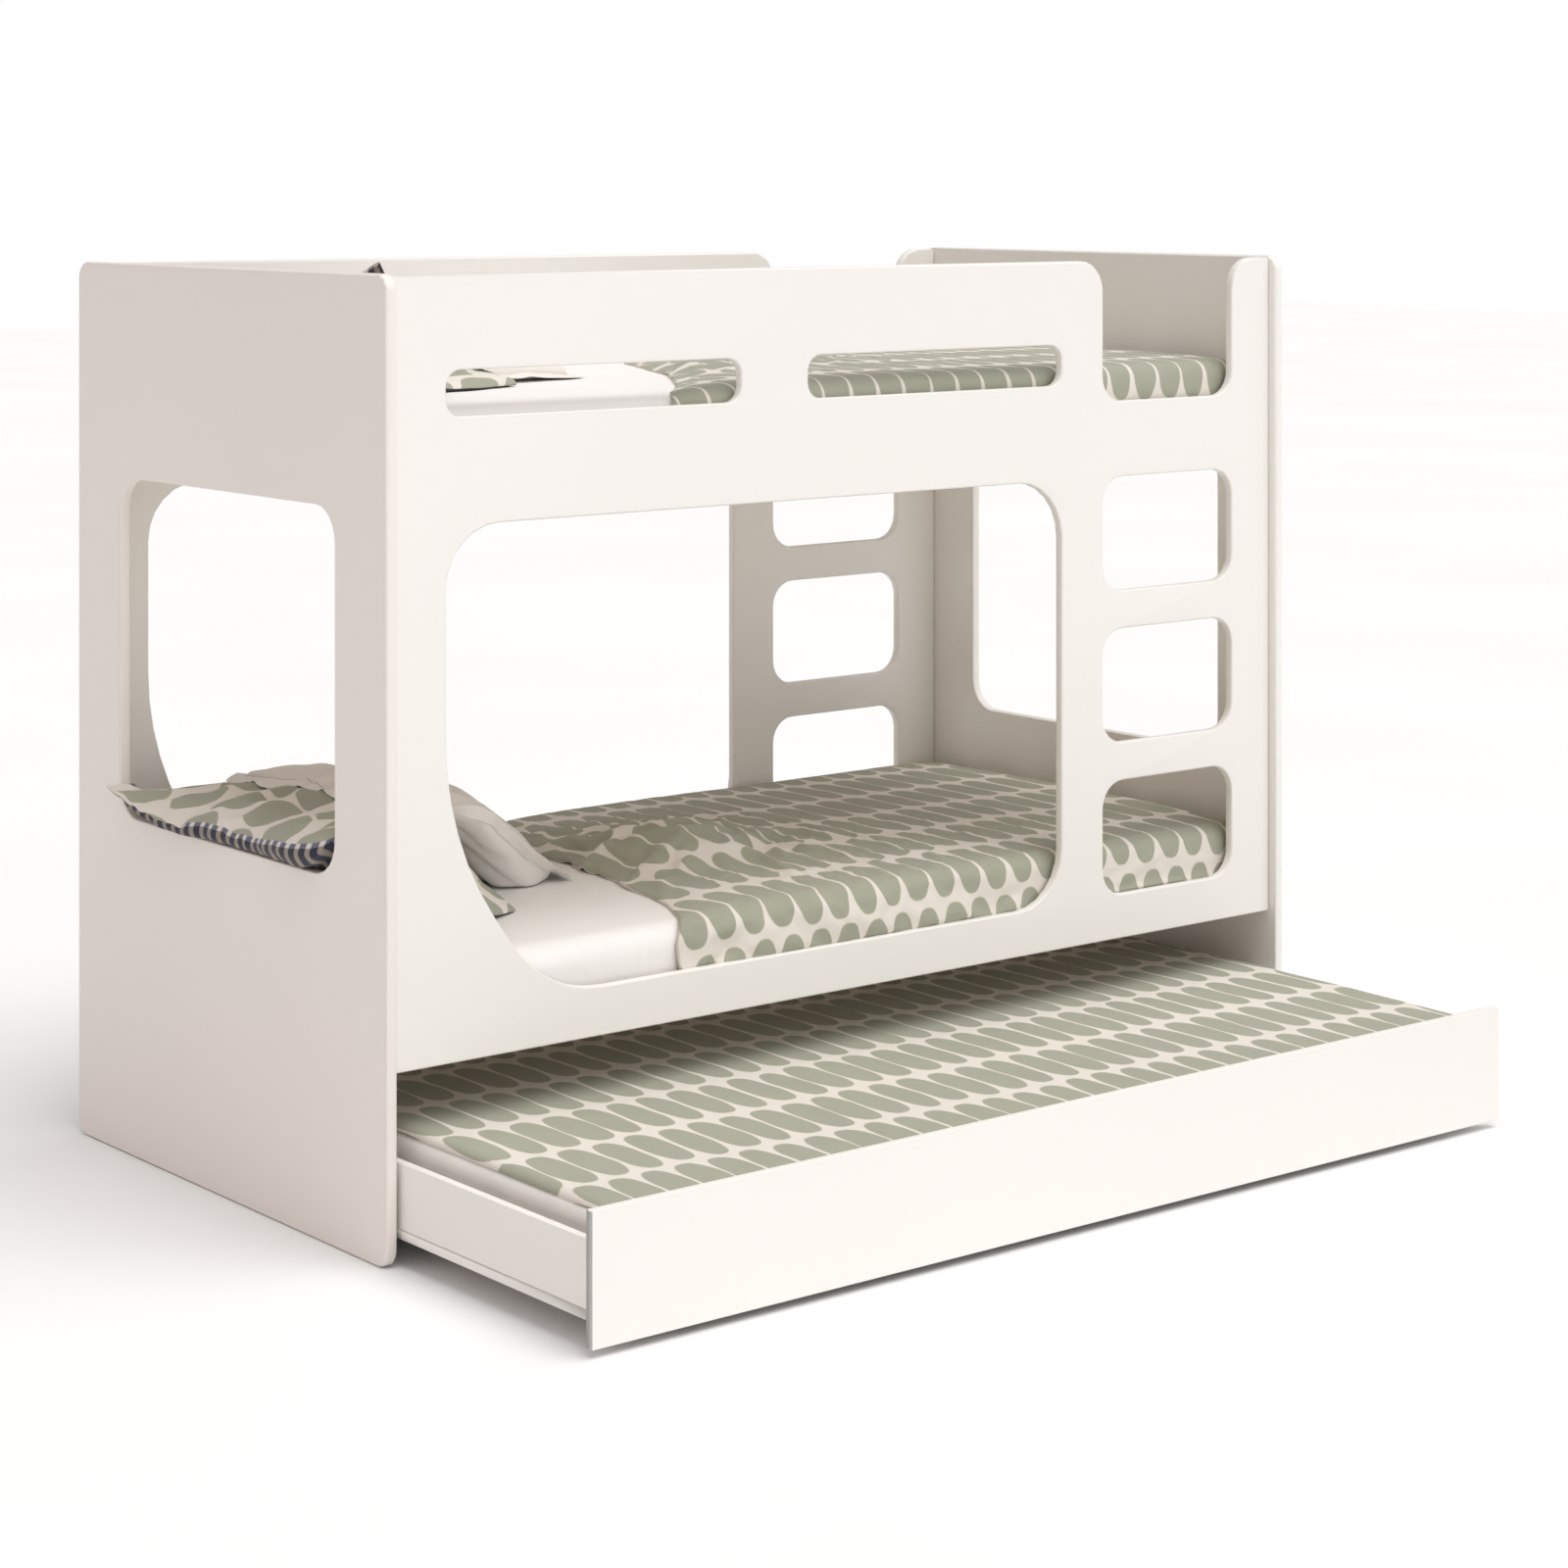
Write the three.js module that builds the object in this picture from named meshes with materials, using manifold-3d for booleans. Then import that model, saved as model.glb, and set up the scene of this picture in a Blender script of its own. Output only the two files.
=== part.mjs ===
// A children's bunk bed with a trundle. Lengths are millimetres, X runs from the pillows to the foot,
// Y from the front to the back, and Z up. The trundle is pulled out, as it stands in use.

import * as THREE from 'three';
import { mergeVertices } from 'three/addons/utils/BufferGeometryUtils.js';
import Module from 'manifold-3d';

const wasm = await Module();
wasm.setup();

// Fits and edges
const seatGap = 0.3;
const cutOverrun = 30;
const boardEase = 3;
const slatEase = 3;
const degree = Math.PI / 180;

// Board frame
const bedLength = 1960;
const bedDepth = 996;
const bedHeight = 1510;
const endThickness = 20;
const endCornerRadius = 28;
const panelThickness = 18;
const panelSetback = 16;
const panelTopStep = 3;
const bayHeight = 291;

// Window in each end panel
const windowStileWidth = 152;
const windowSill = 572;
const windowHeadDrop = 364;
const windowRadius = 59;

// Openings in each long panel
const stileWidth = 99;
const postWidth = 102;
const ladderWidth = 326;
const openingSill = 369.5;
const openingHeadDrop = 390.5;
const openingRadius = 100;
const sweepUpperShare = 0.66667;
const sweepLowerShare = 0.28667;
const sweepStraightShare = 0.072;
const sweepLean = 35 * degree;
const rungCount = 2;
const rungHeight = 68;
const ladderRadius = 48;
const slotDrop = 223;
const slotHeight = 72.5;
const slotWeb = 142;
const slotRadius = 27;
const entryDepth = 255.5;
const entryFloorRadius = 45;
const entryTopRadius = 55;

// Decks
const upperDeckDrop = 651;
const cleatWidth = 25;
const cleatHeight = 28;
const cleatLift = 5;
const cleatSetIn = 20;
const slatCount = 9;
const slatWidth = 70;
const slatThickness = 12;
const slatEndGap = 3;
const firstSlatInset = 60;

// Bunk mattress and its fitted sheet
const mattressEndGap = 38;
const mattressSideGap = 17;
const mattressHeight = 97;
const mattressCornerRadius = 50;
const mattressEdgeRadius = 16;
const sheetThickness = 2.5;
const sheetHemWidth = 90;

// Bunk duvet. The head hem's places run from the pillow end of the sheeted mattress.
const duvetLoft = 20;
const duvetSide = 7;
const duvetSkirt = 94;
const duvetEdgeRadius = 26;
const duvetCrown = 7;
const duvetFootOverhang = 8;
const hemBackReach = 754.8;
const hemMiddleReach = 621.8;
const hemShoulderReach = 598.8;
const hemFrontReach = 516.8;
const hemShoulder = 170;
const foldHeight = 15;
const foldWidth = 120;
const foldReach = 330;
const foldSkewShare = 0.45;
const foldLongShare = 0.5;
const foldCrossShare = 0.4;

// Pillows. Corner shares run from the head panel in pillow depths, from the middle in mattress half
// widths, and above the sheet in pillow lofts: head back, head front, foot front, foot back.
const pillowDepth = 480;
const pillowLoft = 118;
const pillowSquareness = 0.42;
const pillowSidePull = 0.05;
const pillowUnderShare = 0.4;
const pillowSagShare = 0.4;
const lowerPrintedCornerShares = [
  [-0.035, 0.71, 1.59], [0.03, -0.86, 1.69], [0.75, -0.67, 0.02], [0.83, 0.73, 0.04]];
const lowerPlainCornerShares = [
  [0.39, 0.71, 1.5], [0.68, -0.57, 1.5], [1.33, -0.13, 0.02], [1.31, 0.93, 0.3]];
const upperPrintedCornerShares = [
  [0.1, 0.71, 1.45], [0.12, -0.83, 1.7], [0.73, -0.67, 0.02], [0.83, 0.73, 0.04]];
const upperPlainCornerShares = [
  [0.39, 0.71, 1.4], [0.7, -0.52, 1.4], [1.35, -0.1, 0.02], [1.33, 0.92, 0.2]];

// Trundle box
const trundlePull = 505;
const trundleCloseGap = 1;
const frontBoardEndStep = 10.5;
const frontBoardHeight = 196;
const frontBoardThickness = 15;
const frontBoardClearance = 12.5;
const boxEndGap = 7;
const boxBackInset = 46.7;
const boxBoardThickness = 15;
const boxSideHeight = 101;
const baseThickness = 15;
const baseClearance = 42;
const boxEase = 1.5;

// Trundle mattress, sheet and cover
const trundleMattressEndGap = 18;
const trundleMattressSideGap = 22.5;
const trundleMattressHeight = 128;
const trundleCoverThickness = 4;
const trundleCoverDrop = 60;
const trundleCoverCrown = 5;
const trundleCoverEndInset = 4;

// Castors
const wheelRadius = 18;
const wheelWidth = 15;
const wheelHubRadius = 9;
const wheelDish = 2.5;
const wheelTreadRound = 3;
const axleRadius = 3;
const axleHeadRadius = 5;
const axleHeadHeight = 1.5;
const axleClearance = 0.3;
const boreClearance = 0.1;
const castorLegGap = 1;
const castorLegThickness = 2;
const castorLegWidth = 22;
const castorLegFlare = 16;
const castorPlateLength = 56;
const castorPlateWidth = 46;
const castorPlateThickness = 2;
const castorPlateRadius = 6;
const castorScrewRadius = 2.5;
const castorScrewInset = 8;
const castorInset = 95;

// Faces and heights that several pieces share
const innerHalf = bedLength / 2 - endThickness;
const panelOuterY = bedDepth / 2 - panelSetback;
const panelInnerY = panelOuterY - panelThickness;
const panelTop = bedHeight - panelTopStep;
const panelHalf = innerHalf - seatGap;
const openingLeft = -innerHalf + stileWidth;
const openingHead = bedHeight - openingHeadDrop;
const openingHeight = openingHead - openingSill;
const sweepUpperRadius = sweepUpperShare * openingHeight;
const sweepLowerRadius = sweepLowerShare * openingHeight;
const sweepStraight = sweepStraightShare * openingHeight;
const ladderRight = innerHalf - stileWidth;
const ladderLeft = ladderRight - ladderWidth;
const openingRight = ladderLeft - postWidth;
const slotBottom = bedHeight - slotDrop;
const entryFloor = bedHeight - entryDepth;
const deckRise = bedHeight - upperDeckDrop;
const cleatTop = bayHeight + cleatLift + cleatHeight;
const slatTop = cleatTop + seatGap + slatThickness;
const mattressBase = slatTop + seatGap;
const mattressLength = 2 * (innerHalf - mattressEndGap);
const mattressWidth = 2 * (panelInnerY - mattressSideGap);
const sheetHeight = mattressHeight + 2 * sheetThickness + seatGap;
const sheetTop = mattressBase + sheetHeight;
const sheetHalfX = mattressLength / 2 + sheetThickness + seatGap;
const sheetHalfY = mattressWidth / 2 + sheetThickness + seatGap;
const hemAtBack = hemBackReach - sheetHalfX;
const hemAtMiddle = hemMiddleReach - sheetHalfX;
const hemAtShoulder = hemShoulderReach - sheetHalfX;
const hemAtFront = hemFrontReach - sheetHalfX;
const windowWidth = bedDepth - 2 * windowStileWidth;
const windowHead = bedHeight - windowHeadDrop;
const frontBoardLength = bedLength - 2 * frontBoardEndStep;
const boxLength = 2 * (innerHalf - boxEndGap);
const boxFront = seatGap - bedDepth / 2 - trundleCloseGap;
const boxBack = bedDepth / 2 - boxBackInset;
const trundleMattressLength = boxLength - 2 * (boxBoardThickness + trundleMattressEndGap);
const trundleMattressWidth = boxBack - boxFront - boxBoardThickness - 2 * trundleMattressSideGap;

// Materials
const material = (color, roughness, metalness = 0) =>
  new THREE.MeshStandardMaterial({ color, roughness, metalness });
const lacquer = material(0xf3ede4, 0.42);
const pine = material(0xd9bd8e, 0.65);
const foam = material(0xe6e0d2, 0.9);
const whiteCotton = material(0xefe9e4, 0.85);
const creamCotton = material(0xe7dfd8, 0.85);
const sagePrint = material(0xa3aa93, 0.85);
const sagePillow = material(0x9aa189, 0.85);
const oatCotton = material(0xcfc6be, 0.85);
const zincSteel = material(0xa9abad, 0.35, 0.9);
const greyNylon = material(0x55575a, 0.55);

// Turns a form drawn in Y and Z, and extruded, so that its thickness runs along X.
const alongX = new THREE.Matrix4().makeRotationFromEuler(new THREE.Euler(Math.PI / 2, Math.PI / 2, 0));

// Closed solids and boolean work
function closedGeometry(geometry) {
  const bare = geometry.clone();
  bare.deleteAttribute('normal');
  bare.deleteAttribute('uv');
  return mergeVertices(bare, 1e-3);
}

function toSolid(geometry) {
  const closed = closedGeometry(geometry);
  return new wasm.Manifold(new wasm.Mesh({
    numProp: 3,
    vertProperties: new Float32Array(closed.attributes.position.array),
    triVerts: new Uint32Array(closed.index.array),
  }));
}

function toGeometry(solid) {
  const { vertProperties, triVerts } = solid.getMesh();
  const geometry = new THREE.BufferGeometry();
  geometry.setAttribute('position', new THREE.BufferAttribute(vertProperties, 3));
  geometry.setIndex(new THREE.BufferAttribute(triVerts, 1));
  geometry.computeVertexNormals();
  return geometry;
}

const cut = (geometry, ...tools) =>
  toGeometry(tools.reduce((solid, tool) => solid.subtract(toSolid(tool)), toSolid(geometry)));

const fuse = (...geometries) =>
  toGeometry(geometries.map(toSolid).reduce((solid, other) => solid.add(other)));

function meshGeometry(points, triangles) {
  const geometry = new THREE.BufferGeometry();
  geometry.setAttribute('position', new THREE.Float32BufferAttribute(points, 3));
  geometry.setIndex(triangles);
  return geometry;
}

function node(name, geometry, finish) {
  const mesh = new THREE.Mesh(closedGeometry(geometry), finish);
  mesh.geometry.computeVertexNormals();
  mesh.name = name;
  return mesh;
}

// Outlines
function roundedOutline(path, left, bottom, right, top, radius) {
  path.moveTo(left + radius, bottom);
  path.lineTo(right - radius, bottom);
  path.absarc(right - radius, bottom + radius, radius, -Math.PI / 2, 0);
  path.lineTo(right, top - radius);
  path.absarc(right - radius, top - radius, radius, 0, Math.PI / 2);
  path.lineTo(left + radius, top);
  path.absarc(left + radius, top - radius, radius, Math.PI / 2, Math.PI);
  path.lineTo(left, bottom + radius);
  path.absarc(left + radius, bottom + radius, radius, Math.PI, 3 * Math.PI / 2);
  return path;
}

const roundedShape = (halfX, halfY, radius) =>
  roundedOutline(new THREE.Shape(), -halfX, -halfY, halfX, halfY, radius);

const rectangleShape = (left, bottom, right, top) => new THREE.Shape([
  new THREE.Vector2(left, bottom),
  new THREE.Vector2(right, bottom),
  new THREE.Vector2(right, top),
  new THREE.Vector2(left, top),
]);

// An eased board: the outline keeps its size at mid thickness, and the edges are broken by `ease`.
function easedBoard(shape, thickness, ease, curveSegments = 3, bevelSegments = 1) {
  const board = new THREE.ExtrudeGeometry(shape, {
    depth: thickness - 2 * ease,
    bevelEnabled: true,
    bevelThickness: ease,
    bevelSize: ease,
    bevelOffset: -ease,
    bevelSegments,
    curveSegments,
  });
  return board.translate(0, 0, ease);
}

// End panels: drawn in Y and Z, extruded along X.
function endPanel(name) {
  const shape = roundedOutline(
    new THREE.Shape(), -bedDepth / 2, 0, bedDepth / 2, bedHeight, endCornerRadius);
  shape.holes.push(roundedOutline(
    new THREE.Path(), -windowWidth / 2, windowSill, windowWidth / 2, windowHead, windowRadius));
  const panel = node(name, easedBoard(shape, endThickness, boardEase), lacquer);
  panel.rotation.setFromRotationMatrix(alongX);
  return panel;
}

// The lower opening: three plain corners, and a foot-shaped sweep at the pillow end made of two arcs
// joined by a short straight.
function lowerOpening() {
  const sine = Math.sin(sweepLean);
  const cosine = Math.cos(sweepLean);
  const lowerArcX = openingLeft + sweepUpperRadius * (1 - cosine) + sweepStraight * sine
    + sweepLowerRadius * cosine;
  const upperArcZ = openingSill + sweepLowerRadius * (1 - sine) + sweepStraight * cosine
    + sweepUpperRadius * sine;
  const path = new THREE.Path();
  path.moveTo(lowerArcX, openingSill);
  path.lineTo(openingRight - openingRadius, openingSill);
  path.absarc(openingRight - openingRadius, openingSill + openingRadius, openingRadius, -Math.PI / 2, 0);
  path.absarc(openingRight - openingRadius, openingHead - openingRadius, openingRadius, 0, Math.PI / 2);
  path.absarc(openingLeft + openingRadius, openingHead - openingRadius, openingRadius,
    Math.PI / 2, Math.PI);
  path.absarc(openingLeft + sweepUpperRadius, upperArcZ, sweepUpperRadius,
    Math.PI, Math.PI + sweepLean);
  path.absarc(lowerArcX, openingSill + sweepLowerRadius, sweepLowerRadius,
    Math.PI + sweepLean, 3 * Math.PI / 2);
  return path;
}

// Long panels: drawn in X and Z. The entry gap is cut down from the top between guard and end post.
function longPanel(name) {
  const shape = new THREE.Shape();
  shape.moveTo(-panelHalf, bayHeight);
  shape.lineTo(panelHalf, bayHeight);
  shape.lineTo(panelHalf, panelTop);
  shape.absarc(ladderRight + entryTopRadius, panelTop - entryTopRadius, entryTopRadius,
    Math.PI / 2, Math.PI);
  shape.absarc(ladderRight - entryFloorRadius, entryFloor + entryFloorRadius, entryFloorRadius,
    0, -Math.PI / 2, true);
  shape.absarc(ladderLeft + entryFloorRadius, entryFloor + entryFloorRadius, entryFloorRadius,
    -Math.PI / 2, -Math.PI, true);
  shape.absarc(ladderLeft - entryTopRadius, panelTop - entryTopRadius, entryTopRadius,
    0, Math.PI / 2);
  shape.lineTo(-panelHalf, panelTop);
  shape.holes.push(lowerOpening());
  const holeHeight = (openingHeight - rungCount * rungHeight) / (rungCount + 1);
  for (let i = 0; i <= rungCount; i += 1) {
    const bottom = openingSill + i * (holeHeight + rungHeight);
    shape.holes.push(roundedOutline(
      new THREE.Path(), ladderLeft, bottom, ladderRight, bottom + holeHeight, ladderRadius));
  }
  const slotLength = (openingRight - openingLeft - slotWeb) / 2;
  for (const left of [openingLeft, openingRight - slotLength]) {
    shape.holes.push(roundedOutline(
      new THREE.Path(), left, slotBottom, left + slotLength, slotBottom + slotHeight, slotRadius));
  }
  const panel = node(name, easedBoard(shape, panelThickness, boardEase), lacquer);
  panel.rotation.x = Math.PI / 2;
  return panel;
}

function boardFrame() {
  const left = endPanel('left_end_panel');
  left.position.x = -bedLength / 2;
  const right = endPanel('right_end_panel');
  right.position.x = bedLength / 2 - endThickness;
  const front = longPanel('front_panel');
  front.position.y = -panelInnerY;
  const back = longPanel('back_panel');
  back.position.y = panelOuterY;
  return [left, right, front, back];
}

// A straight board between pairs of X, Y and Z limits.
function straightBoard(name, [left, right], [front, back], [bottom, top], ease, finish) {
  const shape = new THREE.Shape([
    new THREE.Vector2(left, front),
    new THREE.Vector2(right, front),
    new THREE.Vector2(right, back),
    new THREE.Vector2(left, back),
  ]);
  const board = node(name, easedBoard(shape, top - bottom, ease), finish);
  board.position.z = bottom;
  return board;
}

// Deck of one bunk: two cleats on the long panels and a row of slats lying on them.
function slat(name, x) {
  const half = panelInnerY - slatEndGap;
  const shape = roundedShape(slatWidth / 2, slatThickness / 2, slatEase);
  const board = new THREE.ExtrudeGeometry(shape, {
    depth: 2 * half, bevelEnabled: false, curveSegments: 1,
  });
  const bar = node(name, board, pine);
  bar.rotation.x = Math.PI / 2;
  bar.position.set(x, half, slatTop - slatThickness / 2);
  return bar;
}

function deck(prefix) {
  const half = innerHalf - cleatSetIn;
  const outer = panelInnerY - seatGap;
  const inner = outer - cleatWidth;
  const height = [cleatTop - cleatHeight, cleatTop];
  const reach = innerHalf - firstSlatInset;
  const slats = Array.from({ length: slatCount }, (_, i) => slat(
    `${prefix}_slat_${String(i + 1).padStart(2, '0')}`, -reach + 2 * reach * i / (slatCount - 1)));
  return [
    straightBoard(`${prefix}_front_cleat`, [-half, half], [-outer, -inner], height, boardEase, lacquer),
    straightBoard(`${prefix}_back_cleat`, [-half, half], [inner, outer], height, boardEase, lacquer),
    ...slats,
  ];
}

// A rounded block for a mattress and for what wraps it.
function softBlock(halfX, halfY, height, cornerRadius, edgeRadius) {
  return easedBoard(roundedShape(halfX, halfY, cornerRadius), height, edgeRadius, 3, 2);
}

// A fitted sheet: a skin round the mattress, open underneath inside its elastic hem.
function sheetGeometry(halfX, halfY, height) {
  const skin = sheetThickness;
  const outer = softBlock(halfX, halfY, height, mattressCornerRadius, mattressEdgeRadius);
  const inner = softBlock(halfX - skin, halfY - skin, height - 2 * skin,
    mattressCornerRadius - skin, mattressEdgeRadius);
  inner.translate(0, 0, skin);
  const mouthHalfX = halfX - sheetHemWidth;
  const mouthHalfY = halfY - sheetHemWidth;
  const mouth = new THREE.ExtrudeGeometry(
    roundedShape(mouthHalfX, mouthHalfY, mattressCornerRadius),
    { depth: 2 * skin, bevelEnabled: false, curveSegments: 2 });
  mouth.translate(0, 0, -skin);
  return cut(outer, inner, mouth);
}

function mattressGeometry(length, width, height) {
  return softBlock(length / 2, width / 2, height, mattressCornerRadius - sheetThickness,
    mattressEdgeRadius);
}

// A block whose plan is a rounded rectangle and whose top is a height field: a cover before its inside
// is taken out. The grid crowds towards the rim, where the top rolls over into the skirt.
const rimShares = [0, 0.13, 0.5, 1];

function drapedBlock({ left, right, halfY, top, bottom, cornerRadius, edgeRadius, relief, columns, rows }) {
  const rim = rimShares.map((share) => share * edgeRadius);
  const spread = (low, high, count) => {
    const span = high - low - 2 * edgeRadius;
    const middle = Array.from(
      { length: count - 1 }, (_, i) => low + edgeRadius + span * (i + 1) / count);
    return [...rim.map((d) => low + d), ...middle, ...rim.map((d) => high - d).reverse()];
  };
  const xs = spread(left, right, columns);
  const ys = spread(-halfY, halfY, rows);
  const points = [];
  for (const x of xs) {
    for (const y of ys) {
      const inX = Math.min(x - left, right - x);
      const inY = halfY - Math.abs(y);
      const a = Math.max(0, 1 - inX / cornerRadius);
      const b = Math.max(0, 1 - inY / cornerRadius);
      const pull = a > 0 && b > 0 ? cornerRadius * (1 - Math.max(a, b) / Math.hypot(a, b)) : 0;
      const px = x + (x - left < right - x ? a : -a) * pull;
      const py = y + (y < 0 ? b : -b) * pull;
      const d = Math.min(inX, inY, edgeRadius);
      const roll = edgeRadius - Math.sqrt(edgeRadius ** 2 - (edgeRadius - d) ** 2);
      points.push(px, py, top - roll + relief(px, py) * d / edgeRadius);
    }
  }
  const triangles = [];
  const at = (i, j) => i * ys.length + j;
  const quad = (p, q, r, s) => triangles.push(p, q, r, p, r, s);
  for (let i = 0; i < xs.length - 1; i += 1) {
    for (let j = 0; j < ys.length - 1; j += 1) {
      quad(at(i, j), at(i + 1, j), at(i + 1, j + 1), at(i, j + 1));
    }
  }
  const loop = [];
  for (let i = 0; i < xs.length - 1; i += 1) loop.push(at(i, 0));
  for (let j = 0; j < ys.length - 1; j += 1) loop.push(at(xs.length - 1, j));
  for (let i = xs.length - 1; i > 0; i -= 1) loop.push(at(i, ys.length - 1));
  for (let j = ys.length - 1; j > 0; j -= 1) loop.push(at(0, j));
  const foot = points.length / 3;
  loop.forEach((p) => points.push(points[3 * p], points[3 * p + 1], bottom));
  loop.forEach((p, k) => {
    const next = (k + 1) % loop.length;
    quad(foot + k, foot + next, loop[next], p);
  });
  const outline = loop.map((p) => new THREE.Vector2(points[3 * p], points[3 * p + 1]));
  for (const [p, q, r] of THREE.ShapeUtils.triangulateShape(outline, [])) {
    triangles.push(foot + p, foot + r, foot + q);
  }
  return meshGeometry(points, triangles);
}

// What lies on the pillow side of the duvet's head hem. The hem leans away from the pillows at the
// back and sweeps towards them where the duvet turns down over the front.
function hemCutter(halfY, bottom, top) {
  const far = halfY + cutOverrun;
  const shape = new THREE.Shape();
  shape.moveTo(hemAtBack, far);
  shape.quadraticCurveTo(hemAtMiddle, halfY / 2, hemAtMiddle, 0);
  shape.lineTo(hemAtShoulder, hemShoulder - halfY);
  shape.quadraticCurveTo(hemAtShoulder, -halfY, hemAtFront, -far);
  shape.lineTo(-innerHalf, -far);
  shape.lineTo(-innerHalf, far);
  const block = new THREE.ExtrudeGeometry(shape, {
    depth: top - bottom + 2 * cutOverrun, bevelEnabled: false, curveSegments: 6,
  });
  return block.translate(0, 0, bottom - cutOverrun);
}

// Crown along the middle, and slanting folds that die away from the hem.
function duvetRelief(halfY) {
  const turn = 2 * Math.PI / foldWidth;
  return (x, y) => {
    const fromHem = x - hemAtFront;
    const fade = Math.exp(-((fromHem / foldReach) ** 2));
    const long = Math.sin(turn * (fromHem - foldSkewShare * y));
    const cross = Math.sin(turn * (y + fromHem) / 2);
    const fold = 1 + foldLongShare * long + foldCrossShare * cross;
    return duvetCrown * (1 - (y / halfY) ** 2) + foldHeight * fade * fold;
  };
}

function duvetGeometry() {
  const halfY = sheetHalfY + seatGap + duvetSide;
  const top = sheetTop + seatGap + duvetLoft;
  const bottom = sheetTop - duvetSkirt;
  const outer = drapedBlock({
    left: hemAtFront - 2 * cutOverrun,
    right: sheetHalfX + seatGap + duvetFootOverhang,
    halfY,
    top,
    bottom,
    cornerRadius: mattressCornerRadius + duvetSide,
    edgeRadius: duvetEdgeRadius,
    relief: duvetRelief(halfY),
    columns: 24,
    rows: 10,
  });
  return cut(outer, sheetSpace(), hemCutter(halfY, bottom, top + duvetCrown + 2 * foldHeight));
}

// The space that the sheeted bunk mattress fills, with a seat gap all round.
function sheetSpace() {
  const space = softBlock(sheetHalfX + seatGap, sheetHalfY + seatGap, sheetHeight + seatGap,
    mattressCornerRadius + seatGap, mattressEdgeRadius);
  return space.translate(0, 0, mattressBase);
}

// The space that an end panel fills, with a seat gap all round.
function endPanelSpace() {
  const shape = rectangleShape(-bedDepth / 2, 0, bedDepth / 2, bedHeight);
  shape.holes.push(roundedOutline(new THREE.Path(),
    seatGap - windowWidth / 2, windowSill + seatGap,
    windowWidth / 2 - seatGap, windowHead - seatGap, windowRadius));
  const space = new THREE.ExtrudeGeometry(shape, {
    depth: endThickness + seatGap, bevelEnabled: false, curveSegments: 4,
  });
  space.applyMatrix4(alongX);
  return space.translate(-bedLength / 2, 0, 0);
}

// A pillow on four seam corners: the sides pull in between pointed corners, the crown swells above the
// seam and a flatter belly hangs below it, and the head edge sags between its corners. `grow` makes
// the larger form that a neighbour is cut by.
function pillowGeometry(cornerShares, rise, grow = 0) {
  const corners = cornerShares.map(([depths, halfWidths, lofts]) => new THREE.Vector3(
    -innerHalf + depths * pillowDepth,
    halfWidths * sheetHalfY,
    sheetTop + rise + lofts * pillowLoft));
  const [headBack, headFront, footFront, footBack] = corners;
  const normal = new THREE.Vector3().crossVectors(
    footFront.clone().sub(headBack), footBack.clone().sub(headFront)).normalize();
  const outline = (u, v) => {
    const head = headFront.clone().lerp(headBack, v);
    const foot = footFront.clone().lerp(footBack, v);
    return head.lerp(foot, u);
  };
  const columns = 10;
  const rows = 14;
  const ease = (share) => (1 - Math.cos(share * Math.PI)) / 2;
  const points = [];
  const station = (i, j, side) => {
    const u = ease(i / columns);
    const v = ease(j / rows);
    const bowU = 4 * u * (1 - u);
    const bowV = 4 * v * (1 - v);
    const pulledU = u + pillowSidePull * bowV * (1 - 2 * u);
    const pulledV = v + pillowSidePull * bowU * (1 - 2 * v);
    const swell = Math.max(0, bowU * bowV) ** pillowSquareness;
    const half = (side > 0 ? 1 - pillowUnderShare : pillowUnderShare) * pillowLoft + grow;
    const sag = pillowSagShare * pillowLoft * bowV * (1 - u);
    return outline(pulledU, pulledV).addScaledVector(normal, side * swell * half - sag);
  };
  const index = new Map();
  const vertex = (i, j, side) => {
    const onSeam = i === 0 || j === 0 || i === columns || j === rows;
    const key = `${onSeam ? 0 : side},${i},${j}`;
    if (!index.has(key)) {
      index.set(key, points.length / 3);
      points.push(...station(i, j, side));
    }
    return index.get(key);
  };
  const triangles = [];
  for (let i = 0; i < columns; i += 1) {
    for (let j = 0; j < rows; j += 1) {
      for (const side of [1, -1]) {
        const [p, q, r, s] = [[0, 0], [1, 0], [1, 1], [0, 1]].map(
          ([di, dj]) => vertex(i + di, j + dj, side));
        const leaning = (2 * i < columns) === (2 * j < rows);
        const faces = leaning ? [[p, q, s], [q, r, s]] : [[p, q, r], [p, r, s]];
        faces.forEach(([a, b, c]) => triangles.push(...(side > 0 ? [a, b, c] : [a, c, b])));
      }
    }
  }
  return meshGeometry(points, triangles);
}

// Mattress, sheet, duvet and two pillows of one bunk.
function bedding(prefix, rise, printedShares, plainShares) {
  const group = new THREE.Group();
  const mattress = node(
    `${prefix}_mattress`, mattressGeometry(mattressLength, mattressWidth, mattressHeight), foam);
  mattress.position.z = mattressBase + sheetThickness + seatGap / 2;
  const sheet = node(
    `${prefix}_fitted_sheet`, sheetGeometry(sheetHalfX, sheetHalfY, sheetHeight), whiteCotton);
  sheet.position.z = mattressBase;
  const duvet = node(`${prefix}_duvet`, duvetGeometry(), sagePrint);
  for (const piece of [mattress, sheet, duvet]) piece.position.z += rise;
  const walls = [sheetSpace().translate(0, 0, rise), endPanelSpace()];
  const printed = node(`${prefix}_printed_pillow`,
    cut(pillowGeometry(printedShares, rise), ...walls), sagePillow);
  const plain = node(`${prefix}_plain_pillow`,
    cut(pillowGeometry(plainShares, rise), ...walls, pillowGeometry(printedShares, rise, seatGap)),
    oatCotton);
  group.add(mattress, sheet, duvet, printed, plain);
  return group;
}

function bunk(prefix, rise, printedShares, plainShares) {
  const boards = new THREE.Group();
  boards.add(...deck(prefix));
  boards.position.z = rise;
  const group = new THREE.Group();
  group.add(boards, bedding(prefix, rise, printedShares, plainShares));
  return group;
}

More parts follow.
